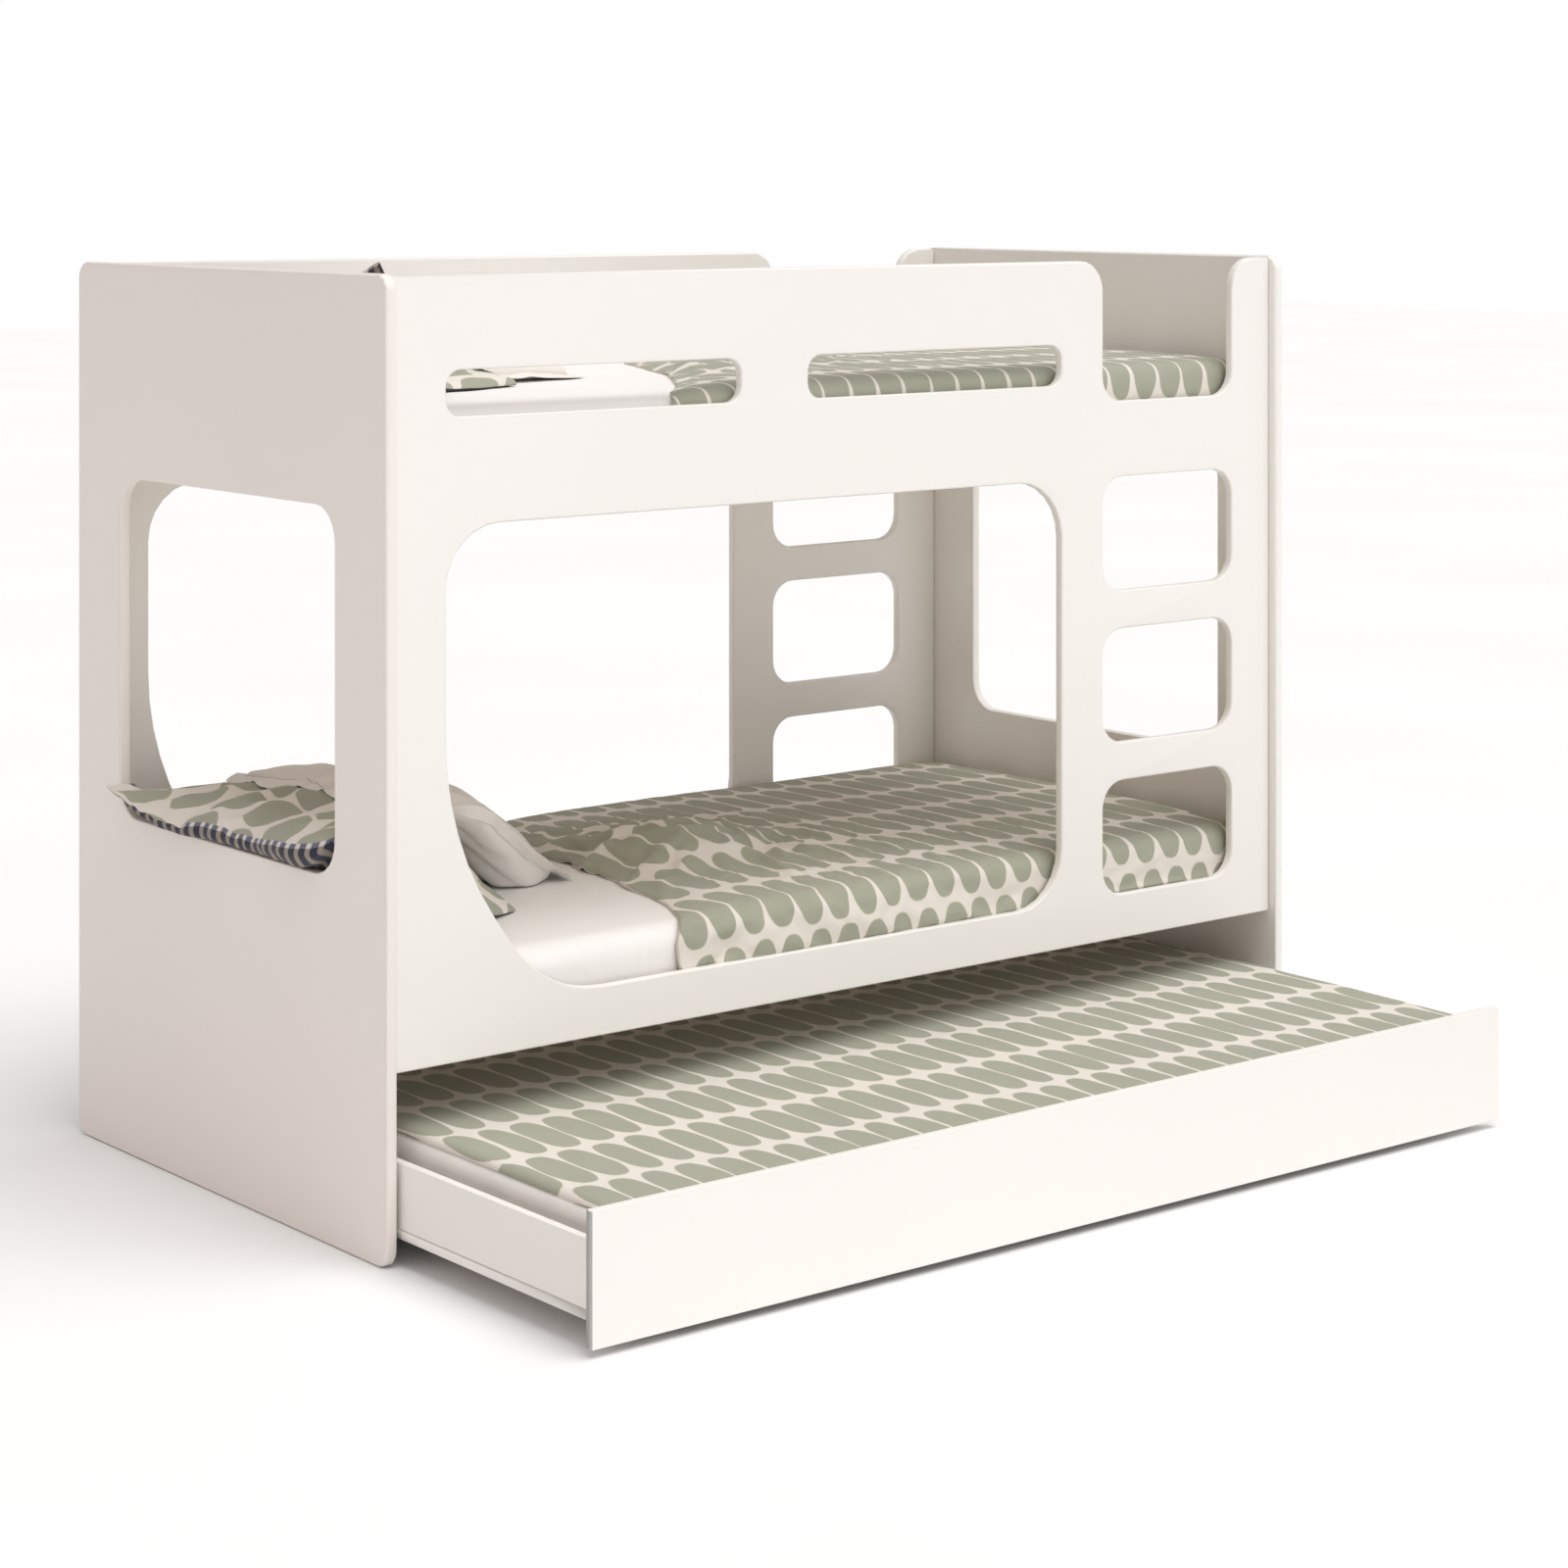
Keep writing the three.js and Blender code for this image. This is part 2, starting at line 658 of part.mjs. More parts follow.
// Castor: a pressed bracket with two legs, a riveted axle pin and a dished wheel.
function castorBracket(name) {
  const legInner = wheelWidth / 2 + castorLegGap;
  const top = baseClearance - seatGap;
  const plate = new THREE.ExtrudeGeometry(
    roundedShape(castorPlateWidth / 2, castorPlateLength / 2, castorPlateRadius),
    { depth: castorPlateThickness, bevelEnabled: false, curveSegments: 3 });
  plate.translate(0, 0, top - castorPlateThickness);
  const leg = (x) => {
    const half = castorLegWidth / 2;
    const shape = new THREE.Shape();
    shape.moveTo(-castorLegFlare, top);
    shape.lineTo(-half, wheelRadius);
    shape.absarc(0, wheelRadius, half, Math.PI, 2 * Math.PI);
    shape.lineTo(castorLegFlare, top);
    shape.holes.push(new THREE.Path().absarc(0, wheelRadius, axleRadius + axleClearance, 0, 2 * Math.PI));
    const sheet = new THREE.ExtrudeGeometry(shape, {
      depth: castorLegThickness, bevelEnabled: false, curveSegments: 5,
    });
    sheet.applyMatrix4(alongX);
    return sheet.translate(x, 0, 0);
  };
  const pressed = fuse(plate, leg(legInner), leg(-legInner - castorLegThickness));
  const holes = [-1, 1].flatMap((sx) => [-1, 1].map((sy) => {
    const hole = new THREE.CylinderGeometry(castorScrewRadius, castorScrewRadius, cutOverrun, 10);
    hole.rotateX(Math.PI / 2);
    return hole.translate(sx * (castorPlateWidth / 2 - castorScrewInset),
      sy * (castorPlateLength / 2 - castorScrewInset), top);
  }));
  return node(name, cut(pressed, ...holes), zincSteel);
}

function turned(name, profile, segments, finish) {
  const outline = profile.map(([radius, along]) => new THREE.Vector2(radius, along));
  const spun = node(name, new THREE.LatheGeometry(outline, segments), finish);
  spun.rotation.z = Math.PI / 2;
  spun.position.z = wheelRadius;
  return spun;
}

function castorAxle(name) {
  const reach = wheelWidth / 2 + castorLegGap + castorLegThickness + axleClearance;
  return turned(name, [
    [0, -reach - axleHeadHeight],
    [axleHeadRadius, -reach - axleHeadHeight],
    [axleHeadRadius, -reach],
    [axleRadius, -reach],
    [axleRadius, reach],
    [axleHeadRadius, reach],
    [axleHeadRadius, reach + axleHeadHeight],
    [0, reach + axleHeadHeight],
  ], 12, zincSteel);
}

function castorWheel(name) {
  const half = wheelWidth / 2;
  const bore = axleRadius + boreClearance;
  const rim = wheelRadius - wheelTreadRound;
  const left = [
    [bore, -half],
    [wheelHubRadius, -half],
    [wheelHubRadius + wheelDish, wheelDish - half],
    [rim - wheelDish, wheelDish - half],
    [rim, -half],
    [wheelRadius, wheelTreadRound - half],
  ];
  const right = left.map(([radius, along]) => [radius, -along]).reverse();
  return turned(name, [...left, ...right, left[0]], 18, greyNylon);
}

function castor(prefix, x, y) {
  const group = new THREE.Group();
  group.add(castorBracket(`${prefix}_castor_bracket`), castorAxle(`${prefix}_castor_axle`),
    castorWheel(`${prefix}_castor_wheel`));
  group.position.set(x, y, 0);
  return group;
}

// Trundle, placed as if closed: its front board then shuts against the end panels' front edges.
function trundle() {
  const boardBack = boxFront - seatGap;
  const half = boxLength / 2;
  const inner = half - boxBoardThickness;
  const baseTop = baseClearance + baseThickness;
  const sideHeight = [baseTop + seatGap, baseTop + seatGap + boxSideHeight];
  const group = new THREE.Group();
  group.add(
    straightBoard('trundle_front_board', [-frontBoardLength / 2, frontBoardLength / 2],
      [boardBack - frontBoardThickness, boardBack],
      [frontBoardClearance, frontBoardClearance + frontBoardHeight], boxEase, lacquer),
    straightBoard('trundle_base_board', [-half, half], [boxFront, boxBack],
      [baseClearance, baseTop], boxEase, lacquer),
    straightBoard('trundle_left_side', [-half, -inner], [boxFront, boxBack],
      sideHeight, boxEase, lacquer),
    straightBoard('trundle_right_side', [inner, half], [boxFront, boxBack],
      sideHeight, boxEase, lacquer),
    straightBoard('trundle_back_board', [seatGap - inner, inner - seatGap],
      [boxBack - boxBoardThickness, boxBack], sideHeight, boxEase, lacquer));

  const halfX = trundleMattressLength / 2 + sheetThickness + seatGap;
  const halfY = trundleMattressWidth / 2 + sheetThickness + seatGap;
  const height = trundleMattressHeight + 2 * sheetThickness + seatGap;
  const middle = (boxFront + boxBack - boxBoardThickness) / 2;
  const seat = baseTop + seatGap;
  const mattress = node('trundle_mattress',
    mattressGeometry(trundleMattressLength, trundleMattressWidth, trundleMattressHeight), foam);
  mattress.position.set(0, middle, seat + sheetThickness + seatGap / 2);
  const sheet = node('trundle_fitted_sheet', sheetGeometry(halfX, halfY, height), creamCotton);
  sheet.position.set(0, middle, seat);
  const outer = drapedBlock({
    left: trundleCoverEndInset - halfX,
    right: halfX - trundleCoverEndInset,
    halfY: halfY + seatGap + trundleCoverThickness,
    top: height + seatGap + trundleCoverThickness,
    bottom: height - trundleCoverDrop,
    cornerRadius: mattressEdgeRadius,
    edgeRadius: mattressEdgeRadius,
    relief: (x, y) => trundleCoverCrown * (1 - (y / halfY) ** 2),
    columns: 2,
    rows: 8,
  });
  const inside = softBlock(halfX + seatGap, halfY + seatGap, height + seatGap,
    mattressCornerRadius + seatGap, mattressEdgeRadius);
  const cover = node('trundle_cover', cut(outer, inside), sagePrint);
  cover.position.set(0, middle, seat);
  group.add(mattress, sheet, cover);

  const castorX = half - castorInset;
  for (const [along, y] of [['front', boxFront + castorInset], ['back', boxBack - castorInset]]) {
    group.add(castor(`${along}_left`, -castorX, y), castor(`${along}_right`, castorX, y));
  }
  group.position.y = -trundlePull;
  return group;
}

// The origin is on the floor under the middle of the whole object, trundle included.
const bunkBed = new THREE.Group();
bunkBed.add(
  ...boardFrame(),
  bunk('lower', 0, lowerPrintedCornerShares, lowerPlainCornerShares),
  bunk('upper', deckRise, upperPrintedCornerShares, upperPlainCornerShares),
  trundle());
const frontOfTrundle = -bedDepth / 2 - trundleCloseGap - frontBoardThickness - trundlePull;
bunkBed.position.y = -(bedDepth / 2 + frontOfTrundle) / 2;

export default bunkBed;
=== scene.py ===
import math

import bmesh
import bpy
import numpy as np
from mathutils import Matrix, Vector, noise
from mathutils.bvhtree import BVHTree


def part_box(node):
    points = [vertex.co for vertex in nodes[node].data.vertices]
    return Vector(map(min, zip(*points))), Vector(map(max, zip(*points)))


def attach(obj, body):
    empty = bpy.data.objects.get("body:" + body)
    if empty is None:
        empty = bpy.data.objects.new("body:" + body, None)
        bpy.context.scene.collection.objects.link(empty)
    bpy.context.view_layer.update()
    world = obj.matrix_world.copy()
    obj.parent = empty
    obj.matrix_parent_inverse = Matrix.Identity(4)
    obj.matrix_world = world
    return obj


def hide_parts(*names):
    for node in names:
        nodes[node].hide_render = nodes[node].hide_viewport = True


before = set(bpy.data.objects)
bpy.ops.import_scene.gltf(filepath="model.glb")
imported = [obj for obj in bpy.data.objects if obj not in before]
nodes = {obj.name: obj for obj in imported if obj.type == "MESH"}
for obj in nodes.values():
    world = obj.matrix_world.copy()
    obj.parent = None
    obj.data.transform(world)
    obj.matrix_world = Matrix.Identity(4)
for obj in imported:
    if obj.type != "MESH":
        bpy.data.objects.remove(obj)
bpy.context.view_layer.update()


# Places taken from the frame
def span(node):
    low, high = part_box(node)
    return np.array(low), np.array(high)


def middle_of(node):
    """A node's middle and half its size."""
    low, high = span(node)
    return (low + high) / 2, (high - low) / 2


bed_middle_y = middle_of("left_end_panel")[0][1]
bunk_rise = span("upper_fitted_sheet")[0][2] - span("lower_fitted_sheet")[0][2]


# Camera: level, with the shift that keeps the photograph's verticals parallel
PHOTO_SIDE = 1600
FOCAL_PIXELS = 3600.65
HORIZON_ROW = 177.5
CAMERA_YAW = 0.674678
CAMERA_FROM_MIDDLE = (-3.84777, -5.04688, 1.66188)


def make_camera():
    camera = bpy.data.cameras.new("camera")
    camera.sensor_width = 36
    camera.lens = FOCAL_PIXELS / PHOTO_SIDE * camera.sensor_width
    camera.shift_y = HORIZON_ROW / PHOTO_SIDE - 0.5
    camera.clip_start, camera.clip_end = 0.1, 100
    made = bpy.data.objects.new("camera", camera)
    made.location = np.array(CAMERA_FROM_MIDDLE) + (0, bed_middle_y, 0)
    made.rotation_euler = (math.pi / 2, 0, -CAMERA_YAW)
    bpy.context.scene.collection.objects.link(made)
    bpy.context.scene.camera = made


make_camera()


# Node tree helpers
class Graph:
    """Builds the node tree of a new material, or of a world, with few words."""

    def __init__(self, name=None, world=None):
        self.owner = world or bpy.data.materials.new(name)
        self.owner.use_nodes = True
        self.tree = self.owner.node_tree
        self.tree.nodes.clear()
        kind = "ShaderNodeOutputWorld" if world else "ShaderNodeOutputMaterial"
        self.output = self.tree.nodes.new(kind)

    def put(self, socket, value):
        if isinstance(value, bpy.types.NodeSocket):
            self.tree.links.new(value, socket)
        elif value is not None:
            if hasattr(socket.default_value, "__len__") and not isinstance(value, str):
                size = len(socket.default_value)
                value = list(value) if hasattr(value, "__len__") else [value] * size
                if size == 4 and len(value) == 3:
                    value = value + [1.0]
            socket.default_value = value

    def add(self, kind, inputs=(), out=0, **settings):
        made = self.tree.nodes.new(kind)
        for key, value in settings.items():
            setattr(made, key, value)
        pairs = inputs.items() if isinstance(inputs, dict) else enumerate(inputs)
        for key, value in pairs:
            self.put(made.inputs[key], value)
        return made.outputs[out]

    def math(self, operation, *values, clamp=False):
        return self.add("ShaderNodeMath", values, operation=operation, use_clamp=clamp)

    def mix(self, factor, a, b, blend="MIX"):
        made = self.tree.nodes.new("ShaderNodeMix")
        made.data_type = "RGBA"
        made.blend_type = blend
        self.put(made.inputs[0], factor)
        self.put(made.inputs[6], a)
        self.put(made.inputs[7], b)
        return made.outputs[2]

    def ramp(self, value, low, high, to_low=0.0, to_high=1.0, smooth=True):
        made = self.tree.nodes.new("ShaderNodeMapRange")
        made.interpolation_type = "SMOOTHSTEP" if smooth else "LINEAR"
        for socket, item in zip(made.inputs[:5], (value, low, high, to_low, to_high)):
            self.put(socket, item)
        return made.outputs[0]

    def split(self, vector):
        made = self.tree.nodes.new("ShaderNodeSeparateXYZ")
        self.put(made.inputs[0], vector)
        return made.outputs[0], made.outputs[1], made.outputs[2]

    def join(self, x=0.0, y=0.0, z=0.0):
        return self.add("ShaderNodeCombineXYZ", (x, y, z))

    def place(self):
        return self.add("ShaderNodeTexCoord", out="Object")

    def cloth(self):
        return self.add("ShaderNodeUVMap", uv_map=CLOTH)

    def noise(self, vector, scale, detail=2.0, roughness=0.5, out=0):
        return self.add("ShaderNodeTexNoise", {
            "Vector": vector, "Scale": scale, "Detail": detail, "Roughness": roughness}, out=out)

    def bump(self, height, strength, distance, normal=None):
        return self.add("ShaderNodeBump", {
            "Height": height, "Strength": strength, "Distance": distance, "Normal": normal})

    def finish(self, **inputs):
        made = self.tree.nodes.new("ShaderNodeBsdfPrincipled")
        for key, value in inputs.items():
            self.put(made.inputs[key.replace("_", " ").title().replace("Ior", "IOR")], value)
        self.tree.links.new(made.outputs[0], self.output.inputs["Surface"])
        return self.owner


def linear(red, green, blue):
    """A linear colour from screen values out of 255."""
    return tuple(
        c / 12.92 if c <= 0.04045 else ((c + 0.055) / 1.055) ** 2.4
        for c in (red / 255, green / 255, blue / 255))


CLOTH = "cloth"  # the UV layer that holds each cloth's own flat places, in metres
PILLOW_CELL = 0.0095
BORDER_RING = 0.009
PAPER = linear(234, 227, 218)
SAGE = linear(170, 171, 153)
SAGE_RIM = linear(218, 211, 184)
STITCH_LENGTH = 0.0035
STRIPE_PITCH = 0.026
TRIM_END = 0.13


def lacquer(name, colour):
    """Satin lacquer, rolled on a board, with a faint orange peel."""
    g = Graph(name)
    place = g.place()
    drift = g.noise(place, 1.6, 2.0)
    shade = g.ramp(drift, 0.3, 0.7, 0.0, 1.0)
    tone = g.mix(shade, colour, tuple(c * 0.985 for c in colour))
    peel = g.noise(place, 420.0, 2.0)
    roller = g.noise(place, 90.0, 3.0, 0.6)
    height = g.math("ADD", g.math("MULTIPLY", peel, 0.6), g.math("MULTIPLY", roller, 0.4))
    rough = g.ramp(roller, 0.3, 0.7, 0.4, 0.48)
    return g.finish(base_color=tone, roughness=rough, normal=g.bump(height, 0.06, 0.0006),
                    coat_weight=0.12, coat_roughness=0.3)


def pine_wood(name):
    g = Graph(name)
    x, y, z = g.split(g.place())
    grain_place = g.join(
        g.math("MULTIPLY", x, 14.0), g.math("MULTIPLY", y, 1.1), g.math("MULTIPLY", z, 14.0))
    warp = g.noise(grain_place, 2.2, 4.0, 0.6)
    rings = g.math("SINE", g.math("ADD", g.math("MULTIPLY", warp, 42.0), g.math("MULTIPLY", x, 160.0)))
    line = g.ramp(rings, -0.2, 1.0)
    pores = g.noise(g.join(g.math("MULTIPLY", x, 300.0), g.math("MULTIPLY", y, 6.0), z), 3.0, 3.0)
    tone = g.mix(g.math("MULTIPLY", line, 0.55), linear(226, 196, 148), linear(190, 148, 98))
    tone = g.mix(g.math("MULTIPLY", g.ramp(pores, 0.55, 0.8), 0.25), tone, linear(150, 110, 70))
    height = g.math("ADD", g.math("MULTIPLY", line, 0.5), pores)
    return g.finish(base_color=tone, roughness=g.ramp(pores, 0.3, 0.7, 0.5, 0.68),
                    normal=g.bump(height, 0.15, 0.0006))


def weave(g, cloth, pitch=0.0006, strength=0.25):
    """A plain weave's bump and its height."""
    x, y, _ = g.split(cloth)
    turn = math.pi / pitch
    warp = g.math("ABSOLUTE", g.math("SINE", g.math("MULTIPLY", x, turn)))
    weft = g.math("ABSOLUTE", g.math("SINE", g.math("MULTIPLY", y, turn)))
    slub = g.noise(g.join(g.math("MULTIPLY", x, 60.0), g.math("MULTIPLY", y, 900.0), 0.0), 1.0, 2.0)
    height = g.math("ADD", g.math("MULTIPLY", warp, weft), g.math("MULTIPLY", slub, 0.8))
    return height, g.bump(height, strength, 0.0003)


def cloth_finish(g, tone, cloth, crumple):
    """Weave, soft creases and thin ridges on a cloth of any colour."""
    height, normal = weave(g, cloth)
    crease = g.noise(cloth, 34.0, 4.0, 0.62)
    soft = g.noise(cloth, 9.0, 3.0, 0.55)
    normal = g.bump(g.math("ADD", crease, g.math("MULTIPLY", soft, 1.5)), crumple, 0.0016, normal)
    ridge = g.math("ABSOLUTE", g.math("SUBTRACT", g.noise(cloth, 6.5, 2.0, 0.45), 0.5))
    normal = g.bump(g.ramp(ridge, 0.0, 0.045, 1.0, 0.0), crumple, 0.0012, normal)
    darker = g.mix(1.0, tone, (0.8, 0.8, 0.8), "MULTIPLY")
    tone = g.mix(g.math("MULTIPLY", g.ramp(height, 0.2, 1.4), 0.06), tone, darker)
    return g.finish(base_color=tone, roughness=0.86, normal=normal, sheen_weight=0.18,
                    sheen_roughness=0.5, specular_ior_level=0.25)


def plain_cotton(name, colour, crumple, stitch=None):
    """Plain cotton, with a row of stitches where the cloth's Y is stitch."""
    g = Graph(name)
    cloth = g.cloth()
    mottle = g.ramp(g.noise(cloth, 5.0, 3.0), 0.3, 0.7)
    tone = g.mix(g.math("MULTIPLY", mottle, 0.5), colour, tuple(c * 0.97 for c in colour))
    if stitch is not None:
        x, y, _ = g.split(cloth)
        seam = g.ramp(g.math("ABSOLUTE", g.math("SUBTRACT", y, stitch)), 0.0006, 0.0020, 1.0, 0.0)
        thread = g.ramp(g.math("FRACT", g.math("DIVIDE", x, STITCH_LENGTH)), 0.55, 0.75, 1.0, 0.45)
        tone = g.mix(g.math("MULTIPLY", seam, thread), tone, tuple(c * 0.42 for c in colour))
    return cloth_finish(g, tone, cloth, crumple)


def motif(g, cloth, pitch, size, power, wander, vary, start):
    """Rounded motifs in rows, each row shifted by its own amount. Below 1 is inside a motif."""
    x, y, _ = g.split(cloth)
    x, y = g.math("SUBTRACT", x, start[0]), g.math("SUBTRACT", y, start[1])
    sx, sy, _ = g.split(g.noise(cloth, 9.0, 1.0, out=1))
    x = g.math("ADD", x, g.math("MULTIPLY", g.math("SUBTRACT", sx, 0.5), wander))
    y = g.math("ADD", y, g.math("MULTIPLY", g.math("SUBTRACT", sy, 0.5), wander))
    row = g.math("DIVIDE", y, pitch[1])
    row_index = g.math("FLOOR", row)
    shift = g.add("ShaderNodeTexWhiteNoise", {"W": row_index}, noise_dimensions="1D")
    row_start = g.math("ADD", shift, g.math("MULTIPLY", row_index, 0.5))
    column = g.math("ADD", g.math("DIVIDE", x, pitch[0]), row_start)
    column_index = g.math("FLOOR", column)
    dice = g.add("ShaderNodeTexWhiteNoise", (g.join(column_index, row_index, 0.0),), out=1)
    d1, d2, d3 = g.split(dice)
    along = g.math("SUBTRACT", g.math("FRACT", row), 0.5)
    along = g.math("ADD", along, g.math("MULTIPLY", g.math("SUBTRACT", d1, 0.5), vary * 0.35))
    across = g.math("SUBTRACT", g.math("FRACT", column), 0.5)
    across = g.math("ADD", across, g.math("MULTIPLY", g.math("SUBTRACT", d2, 0.5), vary * 0.25))
    half_x = g.math("MULTIPLY", g.math("ADD", 1.0, g.math("MULTIPLY", g.math("SUBTRACT", d3, 0.5), vary)),
                    size[0] / pitch[0] / 2)
    a = g.math("POWER", g.math("DIVIDE", g.math("ABSOLUTE", across), half_x), power)
    b = g.math("POWER", g.math("DIVIDE", g.math("ABSOLUTE", along), size[1] / pitch[1] / 2), power)
    return g.math("ADD", a, b)


def stripes(g, cloth, navy, worn, ground):
    """Broad stripes with fine lines between, the old mattress and pillow stripe."""
    x, y, _ = g.split(cloth)
    along = g.math("ABSOLUTE", g.math("SUBTRACT", g.math("FRACT", g.math("DIVIDE", y, STRIPE_PITCH)), 0.5))
    broad = g.ramp(along, 0.27, 0.3, 1.0, 0.0)
    thread = g.ramp(g.math("ABSOLUTE", g.math("SUBTRACT", along, 0.38)), 0.012, 0.03, 0.55, 0.0)
    twill = g.noise(g.join(g.math("MULTIPLY", x, 900.0), g.math("MULTIPLY", y, 900.0), 0.0), 1.0, 1.0)
    return g.mix(g.math("MAXIMUM", broad, thread), ground, g.mix(g.math("MULTIPLY", twill, 0.5), navy, worn))


def printed_cotton(name, pitch, size, power, wander, vary, start, crumple=0.35, trim=None):
    """Sage motifs on pale cotton, with a striped band where the cloth's X is below trim."""
    g = Graph(name)
    cloth = g.cloth()
    reach = motif(g, cloth, pitch, size, power, wander, vary, start)
    ink = g.ramp(reach, 0.94, 1.02, 1.0, 0.0)
    rim = g.math("MULTIPLY", g.ramp(reach, 1.0, 1.12, 1.0, 0.0), g.ramp(reach, 0.9, 1.0))
    mottle = g.ramp(g.noise(cloth, 7.0, 3.0), 0.3, 0.7)
    sage = g.mix(g.math("MULTIPLY", mottle, 0.6), SAGE, tuple(c * 0.93 for c in SAGE))
    tone = g.mix(g.math("MULTIPLY", rim, 0.5), PAPER, SAGE_RIM)
    tone = g.mix(ink, tone, sage)
    if trim is not None:
        edge = stripes(g, cloth, linear(92, 96, 122), linear(140, 142, 158), linear(230, 223, 214))
        x, y, _ = g.split(cloth)
        band = g.math("MULTIPLY", g.math("LESS_THAN", x, trim), g.math("LESS_THAN", y, TRIM_END))
        tone = g.mix(band, tone, edge)
    return cloth_finish(g, tone, cloth, crumple)


def ticking(name):
    """The worn striped cloth of old pillow covers, its stripes darkened as painted shade for a pillow's
    underside.
    """
    g = Graph(name)
    cloth = g.cloth()
    # Near-black navy and dim pale stripes, darker than the same stripes on the printed pillowcase's band:
    # painted shade of the underside.
    tone = stripes(g, cloth, linear(42, 44, 60), linear(72, 73, 86), linear(158, 147, 134))
    return cloth_finish(g, tone, cloth, crumple=0.35)


def zinc(name):
    g = Graph(name)
    place = g.place()
    spangle = g.noise(place, 160.0, 2.0)
    tone = g.mix(spangle, linear(190, 192, 195), linear(160, 163, 168))
    return g.finish(base_color=tone, metallic=1.0, roughness=g.ramp(spangle, 0.3, 0.7, 0.28, 0.45),
                    normal=g.bump(g.noise(place, 900.0, 2.0), 0.08, 0.0003))


def nylon(name):
    g = Graph(name)
    place = g.place()
    grain = g.noise(place, 700.0, 2.0)
    scuff = g.ramp(g.noise(place, 60.0, 3.0), 0.5, 0.75)
    tone = g.mix(g.math("MULTIPLY", scuff, 0.3), linear(88, 90, 93), linear(128, 128, 128))
    return g.finish(base_color=tone, roughness=g.ramp(scuff, 0.0, 1.0, 0.42, 0.6),
                    normal=g.bump(grain, 0.1, 0.0004))


LACQUER = lacquer("lacquer", linear(249, 246, 241))
# A darker, warmer copy of the same lacquer: painted shade for the left end panel, which faces away from the
# light.
SHADED_END_LACQUER = lacquer("shaded_end_lacquer", linear(247, 240, 234))
PINE = pine_wood("pine")
ZINC = zinc("zinc")
NYLON = nylon("nylon")
WHITE_COTTON = plain_cotton("white_cotton", linear(253, 250, 247), crumple=0.3)
CREAM_COTTON = plain_cotton("cream_cotton", linear(252, 248, 244), crumple=0.25)
OAT_COTTON = plain_cotton("oat_cotton", linear(246, 241, 235), crumple=0.5)
OAT_BORDER = plain_cotton("oat_border", linear(246, 241, 235), crumple=0.5, stitch=BORDER_RING)
OVALS = dict(pitch=(0.0605, 0.168), size=(0.0555, 0.155), power=2.7, wander=0.012, vary=0.12)
SPOTS = dict(pitch=(0.100, 0.118), size=(0.088, 0.104), power=2.3, wander=0.05, vary=0.25)
OVAL_PRINT = printed_cotton("oval_print", start=(0.0, 0.012), **OVALS)
COVER_PRINT = printed_cotton("cover_print", start=(0.02, 0.0), **OVALS)
SPOT_PRINT = printed_cotton("spot_print", start=(0.03, 0.02), crumple=0.5, trim=-0.2545, **SPOTS)
LINING = plain_cotton("lining", linear(226, 216, 206), crumple=0.25)
SHADED_TICKING = ticking("ticking")
MATTRESS_COVER = plain_cotton("mattress_ticking", linear(228, 222, 208), crumple=0.3)


# Board frame and hardware
def dress(node, material):
    """Gives a CAD piece its material, and smooth curves that stay crisp at the edges."""
    part = nodes[node]
    part.data.materials.clear()
    part.data.materials.append(material)
    weld = part.modifiers.new("weld", "WELD")
    weld.merge_threshold = 0.00002
    part.data.polygons.foreach_set("use_smooth", [True] * len(part.data.polygons))
    normals = part.modifiers.new("normals", "WEIGHTED_NORMAL")
    normals.keep_sharp = True
    normals.weight = 90


for name in nodes:
    # The left end panel takes the darker lacquer copy as painted shade.
    if name == "left_end_panel":
        dress(name, SHADED_END_LACQUER)
    elif name.endswith(("panel", "cleat", "board", "_side")):
        dress(name, LACQUER)
    elif "slat" in name:
        dress(name, PINE)
    elif name.endswith(("bracket", "axle")):
        dress(name, ZINC)
    elif name.endswith("wheel"):
        dress(name, NYLON)


# Cloth on a block
def wrap(a, b, half_x, half_y, corner, edge, height=0.0, under=0.0):
    """Wraps flat cloth coordinates, from the middle of a rounded block, over its edge and down its
    side. With a radius under, the cloth turns in below the given height. Returns x, y and the drop
    below the top."""
    ax = np.abs(a) - (half_x - corner)
    ay = np.abs(b) - (half_y - corner)
    ax, ay = np.maximum(ax, 0), np.maximum(ay, 0)
    reach = np.maximum(ax, ay)
    length = np.hypot(ax, ay)
    safe = np.where(length > 0, length, 1)
    dir_x, dir_y = ax / safe, ay / safe
    along = reach - (corner - edge)
    quarter = math.pi * edge / 2
    turn = np.clip(along, 0, quarter) / edge
    out = np.minimum(reach, corner - edge) + edge * np.sin(turn)
    down = edge * (1 - np.cos(turn))
    straight = max(height - edge - under, 0)
    down = down + np.clip(along - quarter, 0, straight if under else 1e9)
    if under:
        turn = np.clip(along - quarter - straight, 0, math.pi * under / 2) / under
        out = out - under * (1 - np.cos(turn))
        down = down + under * np.sin(turn)
        out = out - np.maximum(along - quarter - straight - math.pi * under / 2, 0)
    x = np.sign(a) * (np.minimum(np.abs(a), half_x - corner) + dir_x * out)
    y = np.sign(b) * (np.minimum(np.abs(b), half_y - corner) + dir_y * out)
    return x, y, down


def cloth_grid(half_a, half_b, cell):
    """Flat places all over a cloth, from its middle, as two arrays."""
    a = np.linspace(-half_a, half_a, int(2 * half_a / cell))
    b = np.linspace(-half_b, half_b, int(2 * half_b / cell))
    return np.meshgrid(a, b, indexing="ij")


def grid_faces(index):
    """The quads between the point numbers of a grid."""
    return np.stack(
        [index[:-1, :-1], index[1:, :-1], index[1:, 1:], index[:-1, 1:]], axis=-1).reshape(-1, 4)


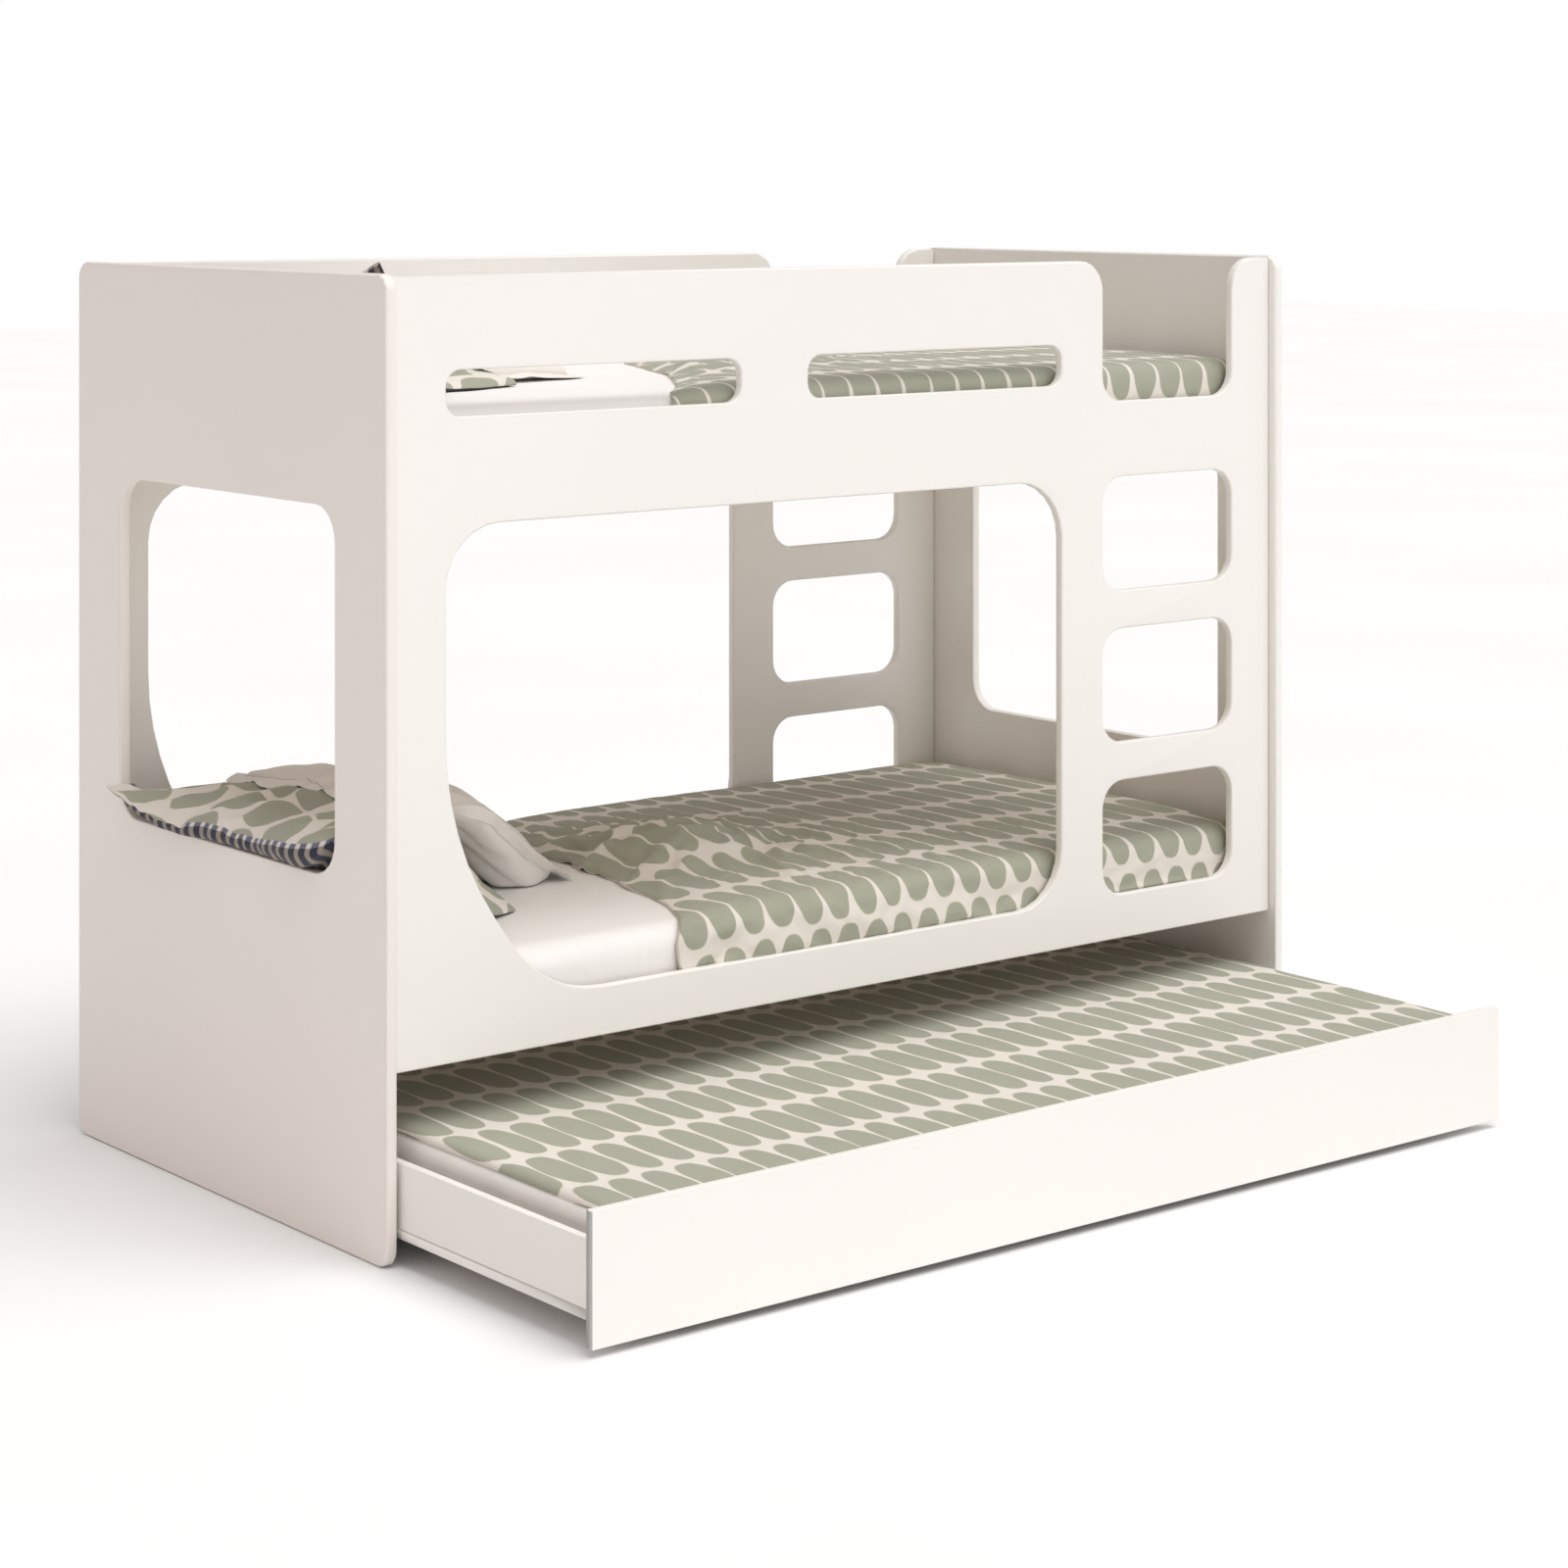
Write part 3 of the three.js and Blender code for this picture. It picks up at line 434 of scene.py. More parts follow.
def smooth_object(name, points, faces, cloth, materials):
    """A smooth mesh, with cloth coordinates for each face corner as its UVs."""
    mesh = bpy.data.meshes.new(name)
    mesh.from_pydata(points.tolist(), [], faces.tolist())
    layer = mesh.uv_layers.new(name=CLOTH)
    layer.data.foreach_set("uv", cloth.astype(np.float32).ravel())
    for material in materials:
        mesh.materials.append(material)
    mesh.polygons.foreach_set("use_smooth", [True] * len(faces))
    made = bpy.data.objects.new(name, mesh)
    bpy.context.scene.collection.objects.link(made)
    return made


def grid_object(name, points, cloth, material):
    """A mesh of an array of points, (rows, columns, 3), and their cloth coordinates."""
    rows, columns = points.shape[:2]
    faces = grid_faces(np.arange(rows * columns).reshape(rows, columns))
    return smooth_object(
        name, points.reshape(-1, 3), faces, cloth.reshape(-1, 2)[faces.ravel()], [material])


def read_points(made):
    flat = np.zeros(len(made.data.vertices) * 3)
    made.data.vertices.foreach_get("co", flat)
    return flat.reshape(-1, 3)


def write_points(made, points):
    made.data.vertices.foreach_set("co", np.asarray(points, np.float32).ravel())
    made.data.update()


def thicken(made, thickness, lining=None):
    """Gives a cloth its thickness, below it, and a lining of its own if there is one."""
    solid = made.modifiers.new("thickness", "SOLIDIFY")
    solid.thickness = thickness
    solid.offset = -1
    if lining:
        made.data.materials.append(lining)
        solid.material_offset = solid.material_offset_rim = 1


def field(x, y, scale, seed):
    """Smooth noise over arrays of places."""
    return np.array([
        noise.noise(Vector((p / scale, q / scale, seed)))
        for p, q in zip(np.ravel(x), np.ravel(y))]).reshape(np.shape(x))


# Fitted sheets and mattresses
SHEET_CELL = 0.012
TUFT_PITCH = 0.115


def fitted_sheet(node, material, edge, seed, ripple=0.0012):
    """A sheet stretched over a mattress and tucked under it. Returns it and its flat size."""
    centre, half = middle_of(node)
    height = 2 * half[2]
    under, tuck = 0.014, 0.05
    quarter = math.pi * edge / 2
    extra = quarter - edge + (height - edge - under) + math.pi * under / 2 + tuck
    a, b = cloth_grid(half[0] + extra, half[1] + extra, SHEET_CELL)
    x, y, down = wrap(a, b, half[0], half[1], corner=0.05, edge=edge, height=height, under=under)
    waves = field(a * 0.35, b, 0.045, seed) + 0.5 * field(a, b * 0.6, 0.09, seed + 9)
    side = np.clip(down / edge, 0, 1)
    lift = ripple * np.abs(waves) * (1 - side)
    pull = field(a * 0.8 + b * 0.5, b * 0.8 - a * 0.3, 0.11, seed + 4)
    push = (ripple * np.abs(waves) + 2.2 * ripple * np.abs(pull)) * side
    normal_x = np.where(np.abs(x) > half[0] - 0.03, np.sign(x), 0)
    normal_y = np.where(np.abs(y) > half[1] - 0.03, np.sign(y), 0)
    points = np.stack([
        centre[0] + x - normal_x * push, centre[1] + y - normal_y * push,
        centre[2] + half[2] - down - lift], axis=-1)
    name = node.replace("fitted_sheet", "sheet_cloth")
    made = grid_object(name, points, np.stack([a, b], axis=-1), material)
    thicken(made, 0.0012)
    return made, (2 * (half[0] + extra), 2 * (half[1] + extra))


def mattress_core(node, body, edge):
    """A tufted mattress, from two halves that meet round the middle of its sides."""
    centre, half = middle_of(node)
    name = node.replace("mattress", "mattress_core")
    extra = math.pi * edge / 2 - edge + (half[2] - edge)
    parts = []
    for sign in (1, -1):
        a, b = cloth_grid(half[0] + extra, half[1] + extra, cell=0.02)
        x, y, down = wrap(a, b, half[0], half[1], corner=0.048, edge=edge)
        tuft = np.cos(a * math.pi / TUFT_PITCH) * np.cos(b * math.pi / TUFT_PITCH)
        dimple = 0.0025 * np.clip(np.abs(tuft), 0, 1) ** 3 * (down < 0.001)
        z = centre[2] + sign * (half[2] - down - dimple)
        points = np.stack([centre[0] + x, centre[1] + y, z], axis=-1)
        cloth = np.stack([a, b], axis=-1)
        half_name = name if sign > 0 else name + "_under"
        parts.append(grid_object(half_name, points[::sign], cloth[::sign], MATTRESS_COVER))
    join(parts)
    top = parts[0]
    weld_mesh(top, 0.0005)
    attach(top, body)
    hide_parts(node)
    return top


def join(parts):
    """Joins objects into the first one."""
    bpy.ops.object.select_all(action="DESELECT")
    for part in parts:
        part.select_set(True)
    bpy.context.view_layer.objects.active = parts[0]
    bpy.ops.object.join()


def weld_mesh(made, distance):
    work = bmesh.new()
    work.from_mesh(made.data)
    bmesh.ops.remove_doubles(work, verts=work.verts, dist=distance)
    work.to_mesh(made.data)
    work.free()


# Cloth simulation
def simulate(cloth_object, colliders, frames, quality=6, mass=0.25, air=1.0, tension=25,
             compression=25, shear=8, bending=0.4, damping=10, gravity=1.0, pressure=None,
             shrink=None, pin=None):
    """Runs a cloth simulation on an object and returns the last places of its points."""
    scene = bpy.context.scene
    for other in colliders:
        hit = other.modifiers.new("hit", "COLLISION")
        hit.settings.thickness_outer = 0.002
        hit.settings.cloth_friction = 12
    cloth = cloth_object.modifiers.new("cloth", "CLOTH")
    s = cloth.settings
    s.quality = quality
    s.mass = mass
    s.air_damping = air
    s.tension_stiffness = tension
    s.compression_stiffness = compression
    s.shear_stiffness = shear
    s.bending_stiffness = bending
    s.tension_damping = s.compression_damping = s.shear_damping = damping
    s.bending_damping = damping / 15
    s.effector_weights.gravity = gravity
    if pressure is not None:
        s.use_pressure = True
        s.uniform_pressure_force = pressure
        s.pressure_factor = 1.0
    if shrink is not None:
        s.vertex_group_shrink, s.shrink_min, s.shrink_max = shrink
    if pin is not None:
        s.vertex_group_mass = pin
        s.pin_stiffness = 1.0
    c = cloth.collision_settings
    c.use_collision = bool(colliders)
    c.distance_min = 0.002
    c.collision_quality = 3
    c.use_self_collision = False
    cloth.point_cache.frame_start = 1
    cloth.point_cache.frame_end = frames
    scene.frame_start, scene.frame_end = 1, frames
    for step in range(1, frames + 1):
        scene.frame_set(step)
    graph = bpy.context.evaluated_depsgraph_get()
    shape = cloth_object.evaluated_get(graph).to_mesh()
    flat = np.zeros(len(shape.vertices) * 3)
    shape.vertices.foreach_get("co", flat)
    points = flat.reshape(-1, 3).copy()
    cloth_object.evaluated_get(graph).to_mesh_clear()
    cloth_object.modifiers.remove(cloth)
    for other in colliders:
        other.modifiers.remove(other.modifiers["hit"])
    scene.frame_set(1)
    return points


# Duvets
DUVET_THICKNESS = 0.006
UPPER_CRUMPLE = 0.35
duvet_foot = span("lower_duvet")[1][0]
sheet_centre, sheet_half = middle_of("lower_fitted_sheet")
sheet_top = sheet_centre[2] + sheet_half[2]

# Where each duvet's head hem runs: places across the bed, from its middle, and X there.
LOWER_HEM = ((-0.62, -0.46, -0.40, -0.312, -0.25, -0.18, -0.10, 0.0, 0.25, 0.46, 0.62),
             (-0.388, -0.402, -0.362, -0.317, -0.299, -0.287, -0.266, -0.262, -0.225, -0.19, -0.18))
UPPER_HEM = ((-0.62, -0.46, -0.40, -0.35, -0.25, -0.174, 0.027, 0.171, 0.30, 0.46, 0.62),
             (-0.41, -0.41, -0.375, -0.33, -0.245, -0.19, -0.055, 0.02, 0.085, 0.16, 0.19))


def duvet_shape(cell, loft, side, drop, hem_line, edge=0.026):
    """The duvet's resting surface: cloth coordinates, and points from the bed's middle."""
    half_x = duvet_foot - sheet_centre[0] - 0.001
    half_y = sheet_half[1] + side
    quarter = math.pi * edge / 2
    extra = quarter - edge + drop - edge
    columns = int(2 * (half_y + extra) / cell)
    rows = int((half_x + extra + 0.3) / cell)
    b = np.linspace(-half_y - extra, half_y + extra, columns)
    t = np.linspace(0, 1, rows)
    t, b = np.meshgrid(t, b, indexing="ij")
    hem = np.interp(b, *hem_line)
    a = hem + t * (half_x + extra - hem)
    x, y, down = wrap(a, b, half_x, half_y, corner=0.058, edge=edge)
    x = np.where(a < 0, a, x)  # the head half lies flat up to its hem
    swell = 1 - np.exp(-np.clip(a - hem, 0, 1) / 0.07)
    crown = 0.006 * (1 - (y / half_y) ** 2)
    z = sheet_top + loft * swell + crown * swell + 0.004 - down
    return a, b, np.stack([x, y, z], axis=-1)


def laid_duvet(name, hem_line, print_shift=0.0):
    """The duvet before it crumples, and its cloth coordinates."""
    a, b, points = duvet_shape(
        cell=0.0095, loft=0.017, side=0.0065, drop=0.098, hem_line=hem_line)
    points = points + np.array([0, bed_middle_y, 0])
    return grid_object(name, points, np.stack([a, b + print_shift], axis=-1), OVAL_PRINT), a, b


def make_lower_duvet():
    """The lower duvet, crumpled by a simulation where it has slack, and how it lay before."""
    made, a, b = laid_duvet("lower_duvet_cloth", LOWER_HEM)
    slack = np.exp(-(((a + 0.10) / 0.24) ** 2) - (((b - 0.02) / 0.34) ** 2))
    slack += 0.2 * np.exp(-(((a - 0.35) / 0.35) ** 2) - (((b + 0.25) / 0.25) ** 2))
    laid = read_points(made)
    group = made.vertex_groups.new(name="tight")
    for i, weight in enumerate(slack.ravel()):
        group.add([i], float(1 - min(1, weight)), "REPLACE")
    pin = made.vertex_groups.new(name="pin")
    held = np.zeros(a.shape, bool)
    held[-1, :] = held[:, 0] = held[:, -1] = True
    for i in np.flatnonzero(held.ravel()):
        pin.add([int(i)], 1.0, "REPLACE")
    ca, cb, block = duvet_shape(
        cell=0.02, loft=0.014, side=0.004, drop=0.11, hem_line=LOWER_HEM)
    block = block + np.array([0, bed_middle_y, -0.004])
    bed = grid_object("bed_under_duvet", block, np.stack([ca, cb], axis=-1), OVAL_PRINT)
    wobble = 0.002 * field(a, b, 0.05, 3.0)
    start = read_points(made)
    start[:, 2] += 0.002 + wobble.ravel()
    write_points(made, start)
    points = simulate(made, [bed], 30, shrink=("tight", -0.14, 0.0), pin="pin", mass=0.02,
                      tension=15, compression=15, shear=5, bending=0.1, damping=0.8,
                      quality=5)
    write_points(made, points)
    bpy.data.objects.remove(bed)
    made.vertex_groups.clear()
    return made, laid


lower_duvet, laid_points = make_lower_duvet()
upper_duvet = laid_duvet("upper_duvet_cloth", UPPER_HEM, print_shift=0.024)[0]
crumple = (read_points(lower_duvet) - laid_points) * UPPER_CRUMPLE
write_points(upper_duvet, read_points(upper_duvet) + crumple + (0, 0, bunk_rise))
for prefix, duvet in (("lower", lower_duvet), ("upper", upper_duvet)):
    smooth = duvet.modifiers.new("subdivide", "SUBSURF")
    smooth.levels = smooth.render_levels = 1
    thicken(duvet, DUVET_THICKNESS, LINING)
    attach(duvet, "bed_frame")
    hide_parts(f"{prefix}_duvet")

for prefix, material, edge, seed in (("lower", WHITE_COTTON, 0.04, 5), ("upper", WHITE_COTTON, 0.04, 5),
                                     ("trundle", CREAM_COTTON, 0.012, 7)):
    body = "trundle" if prefix == "trundle" else "bed_frame"
    sheet, flat = fitted_sheet(f"{prefix}_fitted_sheet", material, edge, seed)
    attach(sheet, body)
    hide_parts(f"{prefix}_fitted_sheet")
    core = mattress_core(f"{prefix}_mattress", body, edge)


# Trundle cover
def trundle_cover():
    """A cover laid on the trundle's sheet, down along its sides and just over its ends."""
    centre, half = middle_of("trundle_cover")
    top = span("trundle_fitted_sheet")[1][2]
    edge, drop = 0.026, 2 * half[2] - 0.006
    half_y = half[1] - 0.001
    extra = math.pi * edge / 2 - edge + drop - edge
    end = 0.008
    a = np.linspace(-half[0] - end, half[0] + end, int(2 * half[0] / SHEET_CELL))
    b = np.linspace(-half_y - extra, half_y + extra, int(2 * (half_y + extra) / SHEET_CELL))
    a, b = np.meshgrid(a, b, indexing="ij")
    _, y, down = wrap(np.zeros_like(a), b, half[0], half_y, corner=0.027, edge=edge)
    on_top = down < 0.02
    bend_start, bend_radius, bend_length = half[0] - 0.010, 0.012, 0.019
    bend = np.clip(np.abs(a) - bend_start, 0, bend_length) / bend_radius
    x = np.sign(a) * (np.minimum(np.abs(a), bend_start) + bend_radius * np.sin(bend))
    end_down = bend_radius * (1 - np.cos(bend)) * on_top
    crown = 0.004 * (1 - (y / half_y) ** 2)
    waves = 0.0009 * (field(a, b * 0.4, 0.06, 21.0) + field(a * 0.5, b, 0.11, 25.0))
    z = top + 0.0045 + crown + waves * on_top - down - end_down
    points = np.stack([centre[0] + x, centre[1] + y, z], axis=-1)
    made = grid_object("trundle_cover_cloth", points, np.stack([a, b], axis=-1), COVER_PRINT)
    thicken(made, 0.002)
    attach(made, "trundle")
    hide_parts("trundle_cover")


trundle_cover()


# Pillows
class Pillow:
    """Two layers of cloth sewn at the edge, blown up as a stuffed pillow, then laid in place."""

    def __init__(self, name, length, depth, pressure, seed):
        u, v = cloth_grid(depth / 2, length / 2, PILLOW_CELL)
        rows, columns = u.shape
        self.flat_places = np.stack([u, v], axis=-1)
        inset = np.minimum(depth / 2 - np.abs(u), length / 2 - np.abs(v))
        swell = 0.03 * np.clip(inset / 0.12, 0, 1) ** 0.6
        wobble = 0.002 * field(u, v, 0.06, seed)
        top = np.stack([u, v, swell + wobble * (inset > 0)], axis=-1)
        bottom = np.stack([u, v, -swell + wobble * (inset > 0)], axis=-1)
        index = np.arange(rows * columns).reshape(rows, columns)
        inner = np.zeros((rows, columns), bool)
        inner[1:-1, 1:-1] = True
        under = index.copy()
        under[inner] = rows * columns + np.arange(inner.sum())
        self.faces = np.concatenate([grid_faces(index), grid_faces(under)[:, ::-1]])
        self.points = np.concatenate([top.reshape(-1, 3), bottom[inner]])
        flat = np.concatenate([self.flat_places.reshape(-1, 2), self.flat_places[inner]])
        self.cloth = flat[self.faces.ravel()]
        self.s, self.t = flat[:, 0] / depth + 0.5, flat[:, 1] / length + 0.5
        folds = 1 - np.abs(field(flat[:, 0] * 0.8 + flat[:, 1] * 0.5, flat[:, 1] * 0.9, 0.085, seed + 5))
        self.dents = 0.32 * (folds ** 3 - 0.6) + 0.12 * field(flat[:, 0], flat[:, 1], 0.11, seed + 2)
        work = self.build(name, self.points, [OAT_COTTON])
        self.points = simulate(work, [], 30, pressure=pressure, gravity=0.0, tension=35,
                               compression=35, bending=0.15)
        bpy.data.objects.remove(work)
        places = self.points[:rows * columns].reshape(rows, columns, 3)
        ends, sides = places[:, [0, -1], 1].mean(0), places[[0, -1], :, 0].mean(1)
        # The seam coordinates follow a quarter of how far the cloth was pulled in.
        pull_s = (self.points[:, 0] - sides[0]) / (sides[1] - sides[0]) - self.s
        pull_t = (self.points[:, 1] - ends[0]) / (ends[1] - ends[0]) - self.t
        self.s, self.t = self.s + pull_s * 0.25, self.t + pull_t * 0.25

    def build(self, name, points, materials):
        """The pillow as an object: the first material above, the last one underneath."""
        made = smooth_object(name, points, self.faces, self.cloth, materials)
        half = len(self.faces) // 2
        made.data.polygons.foreach_set(
            "material_index", [0] * half + [len(materials) - 1] * half)
        return made

    def lay(self, name, edges, materials, rests_on, rise, drop, flange=0.0, up=0.0, sill=None,
            ear=0.0, head_swell=0.0, lean=0.0):
        """Lays the pillow inside four seams: head and foot from front to back, front and back from
        head to foot. Each is a row of places measured from the bed's middle. rise and drop are its
        fullness above and below, flange its border's width, up how far the front border stands,
        ear the crumple of the thin corner at the back of the head, head_swell the extra fullness
        near the head, and lean how far it thins underneath towards the head."""
        s, t = self.s, self.t
        head, front, foot, back = (seam_line(edge) for edge in edges)
        h, f, o, b = head(t), front(s), foot(t), back(s)
        s, t = s[:, None], t[:, None]
        corners = [edges[0][0], edges[0][-1], edges[2][0], edges[2][-1]]
        c = [np.array(corner) + (0, bed_middle_y, 0) for corner in corners]
        place = (1 - s) * h + s * o + (1 - t) * f + t * b - (
            (1 - s) * ((1 - t) * c[0] + t * c[1]) + s * ((1 - t) * c[2] + t * c[3]))
        normal = np.cross(c[2] - c[1], c[3] - c[0])
        normal /= np.linalg.norm(normal)
        p = self.points[:, 2]
        swell = np.where(p > 0, (np.maximum(p, 0) / p.max()) ** 0.72 * rise,
                         -(np.minimum(p, 0) / p.min()) ** 0.5 * drop)
        swell = swell + self.dents * np.abs(swell)
        if ear:
            ear_near = np.exp(-((self.s / 0.2) ** 2 + ((1 - self.t) / 0.22) ** 2))
            swell = swell * np.where(swell < 0, 1 - ear_near, 1 - 0.75 * ear_near)
            wrinkle = field(self.s * 0.52, self.t * 0.76, 0.03, 3.0)
            swell = swell + ear * ear_near * (np.abs(swell) > 0.001) * wrinkle
            foot_near = np.exp(-(((1 - self.s) / 0.24) ** 2 + (self.t / 0.2) ** 2))
            swell = swell * (1 - 0.8 * foot_near)
        swell = swell * (1 + head_swell * np.exp(-(self.s / 0.3) ** 2) * (swell > 0))
        swell = swell * (1 - lean * np.clip((0.85 - self.s) / 0.5, 0, 1) * (swell < 0))
        place = place + np.outer(swell, normal)
        if sill:
            sill(place)
        settle(place, rests_on, 0.002, np.clip(swell, 0, 1) * 0.3)
        made = self.build(name, place, materials)
        if flange:
            join([made, self.flange(name + "_flange", place, flange, rests_on, up)])
        return made

    def flange(self, name, place, width, rests_on, up):
        """The flat border of an oxford pillowcase, sewn round the seam."""
        rows, columns = self.flat_places.shape[:2]
        index = np.arange(rows * columns).reshape(rows, columns)
        grid = place[:rows * columns].reshape(rows, columns, 3)
        loop = np.concatenate([index[0, :-1], index[:-1, -1], index[-1, :0:-1], index[:0:-1, 0]])
        i, j = loop // columns, loop % columns
        at_end = np.stack([(i == 0) | (i == rows - 1), (j == 0) | (j == columns - 1)], axis=-1)
        across = np.sign(self.flat_places[i, j]) * at_end
        u_way = grid[-1, columns // 2] - grid[0, columns // 2]
        v_way = grid[rows // 2, -1] - grid[rows // 2, 0]
        u_way, v_way = u_way / np.linalg.norm(u_way), v_way / np.linalg.norm(v_way)
        along = i / (rows - 1)
        raised = (up * (1 - along) ** 0.5 * np.clip((along - 0.2) / 0.25, 0, 1) * (j == 0))[:, None]
        out = across[:, :1] * u_way * (1 - raised) + across[:, 1:] * v_way * (1 - raised)
        out = out + raised * np.array([0.0, 0.3, 0.95])
        out = np.where((i == 0)[:, None], out * (1, 1, 0) - (0, 0, 0.25), out)
        seam = grid[i, j]
        count = len(loop)
        # Rings across the border, in shares of its width: the second one is the seam.
        steps = np.array([-0.12, 0.0, 0.3, 0.62, 1.0])
        ripple = np.array([noise.noise(Vector(p * 11)) for p in seam]) * 0.007
        top = seam[:, None] + out[:, None] * (steps * width)[None, :, None]
        top[:, :, 2] += ripple[:, None] * np.clip(steps, 0, 1)[None, :]
        layers = np.concatenate([top, top[:, ::-1] - (0, 0, 0.0022)], axis=1)
        around = layers.shape[1]
        points = layers.reshape(-1, 3)
        settle(points, rests_on, 0.002, 0.0)
        faces = np.array([
            (a * around + b, a * around + (b + 1) % around,
             (a + 1) % count * around + (b + 1) % around, (a + 1) % count * around + b)
            for a in range(count) for b in range(around)])
        corner = faces.ravel()
        flat = np.stack([corner // around * PILLOW_CELL, corner % around * BORDER_RING], axis=-1)
        return smooth_object(name, points, faces, flat, [OAT_BORDER])


def settle(points, rests_on, gap, extra):
    """Lifts points that are below what they rest on, each a height or an object."""
    floor = np.full(len(points), -1.0)
    for other in rests_on:
        if isinstance(other, float):
            floor = np.maximum(floor, other)
            continue
        tree = BVHTree.FromPolygons(
            [tuple(v) for v in read_points(other)], [tuple(p.vertices) for p in other.data.polygons])
        for i, point in enumerate(points):
            hit = tree.ray_cast(Vector((point[0], point[1], 3.0)), Vector((0, 0, -1)))[0]
            if hit is not None:
                floor[i] = max(floor[i], hit.z)
    lift = np.maximum(floor + gap + extra - points[:, 2], 0)
    points[:, 2] += np.where(floor > 0, lift, 0)


printed = Pillow("printed_pillow", length=0.76, depth=0.52, pressure=5.0, seed=4.0)
plain = Pillow("plain_pillow", length=0.62, depth=0.46, pressure=4.5, seed=8.0)

# The four seams of each pillow, head, front, foot and back, for the printed one and the plain one
PILLOWS = {
    "lower": (
        (((-0.915, -0.372, 0.640), (-0.957, -0.335, 0.630), (-0.998, -0.312, 0.614), (-1.010, -0.217, 0.610),
          (-1.012, -0.010, 0.601), (-1.012, 0.163, 0.588), (-1.012, 0.282, 0.611), (-1.012, 0.336, 0.624)),
         ((-0.915, -0.372, 0.640), (-0.80, -0.335, 0.555), (-0.665, -0.268, 0.458), (-0.60, -0.235, 0.444),
          (-0.545, -0.206, 0.441)),
         ((-0.545, -0.206, 0.441), (-0.51, 0.06, 0.470), (-0.55, 0.33, 0.455)),
         ((-1.012, 0.336, 0.624), (-0.80, 0.34, 0.56), (-0.55, 0.33, 0.455))),
        (((-0.755, -0.168, 0.652), (-0.80, 0.03, 0.650), (-0.79, 0.252, 0.628)),
         ((-0.755, -0.168, 0.652), (-0.617, -0.128, 0.604), (-0.537, -0.108, 0.582), (-0.434, -0.080, 0.503),
          (-0.39, -0.062, 0.469), (-0.349, -0.029, 0.455)),
         ((-0.349, -0.029, 0.455), (-0.24, 0.37, 0.49)),
         ((-0.79, 0.252, 0.628), (-0.50, 0.34, 0.575), (-0.24, 0.37, 0.49)))),
    "upper": (
        (((-0.90, -0.353, 1.523), (-0.92, -0.27, 1.480), (-0.93, -0.12, 1.452), (-0.93, 0.33, 1.445)),
         ((-0.90, -0.353, 1.523), (-0.80, -0.27, 1.43), (-0.68, -0.16, 1.318), (-0.62, -0.115, 1.302),
          (-0.536, -0.09, 1.299), (-0.43, -0.04, 1.299)),
         ((-0.43, -0.04, 1.299), (-0.43, 0.16, 1.325), (-0.48, 0.37, 1.31)),
         ((-0.93, 0.33, 1.445), (-0.48, 0.37, 1.31))),
        (((-0.80, -0.10, 1.450), (-0.76, 0.30, 1.435)),
         ((-0.80, -0.10, 1.450), (-0.60, -0.02, 1.387), (-0.42, 0.06, 1.322), (-0.22, 0.11, 1.302)),
         ((-0.22, 0.11, 1.302), (-0.18, 0.40, 1.33)),
         ((-0.76, 0.30, 1.435), (-0.18, 0.40, 1.33))))}
SILL_HEIGHT, SILL_X, SILL_REACH, SILL_CORNER = 0.575, -0.953, 0.338, 0.09


def seam_line(places):
    """A smoothed curve through places, as a function of 0 to 1 along its length."""
    places = np.array(places) + (0, bed_middle_y, 0)
    steps = np.concatenate([[0], np.cumsum(np.linalg.norm(np.diff(places, axis=0), axis=1))])
    even = np.linspace(-0.06, 1.06, 113)
    rough = np.stack([np.interp(even, steps / steps[-1], places[:, k]) for k in range(3)], axis=-1)
    ends = np.clip(np.minimum(even, 1 - even) / 0.05, 0, 1)[:, None]
    soft = rough.copy()
    for _ in range(12):
        soft[1:-1] = (soft[:-2] + 2 * soft[1:-1] + soft[2:]) / 4
    line = rough + (soft - rough) * ends
    return lambda u: np.stack([np.interp(u, even, line[:, k]) for k in range(3)], axis=-1)


def through_window(place):
    """Keeps a pillow above the window's sill and between its sides where it leans through."""
    outside = place[:, 0] < SILL_X
    across = np.abs(place[:, 1] - bed_middle_y)
    corner = np.maximum(across - (SILL_REACH - SILL_CORNER), 0)
    floor = SILL_HEIGHT + SILL_CORNER - np.sqrt(np.maximum(SILL_CORNER ** 2 - corner ** 2, 0))
    raised = np.maximum(place[:, 2], np.minimum(floor, SILL_HEIGHT + 0.05))
    place[:, 2] = np.where(outside, raised, place[:, 2])
    beside = across > SILL_REACH
    place[beside, 0] = np.maximum(place[beside, 0], SILL_X)


PRINTED_LAY = {
    "lower": dict(rise=0.108, drop=0.05, ear=0.012, sill=through_window),
    "upper": dict(rise=0.045, drop=0.012)}
PLAIN_LAY = {
    "lower": dict(rise=0.04, drop=0.11, flange=0.038, up=0.9, head_swell=0.25, lean=0.72),
    "upper": dict(rise=0.062, drop=0.11, flange=0.038)}

for prefix, (printed_seams, plain_seams) in PILLOWS.items():
    top = float(span(f"{prefix}_fitted_sheet")[1][2])
    first = printed.lay(f"{prefix}_printed_pillow_cloth", printed_seams, [SPOT_PRINT, SHADED_TICKING],
                        rests_on=[top], **PRINTED_LAY[prefix])
    second = plain.lay(f"{prefix}_plain_pillow_cloth", plain_seams, [OAT_COTTON],
                       rests_on=[top, first], **PLAIN_LAY[prefix])
    for piece, node, slot in ((first, "printed_pillow", "printed_pillowcase"),
                              (second, "plain_pillow", "plain_pillowcase")):
        smooth = piece.modifiers.new("subdivide", "SUBSURF")
        smooth.levels = smooth.render_levels = 1
        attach(piece, "bed_frame")
        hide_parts(f"{prefix}_{node}")


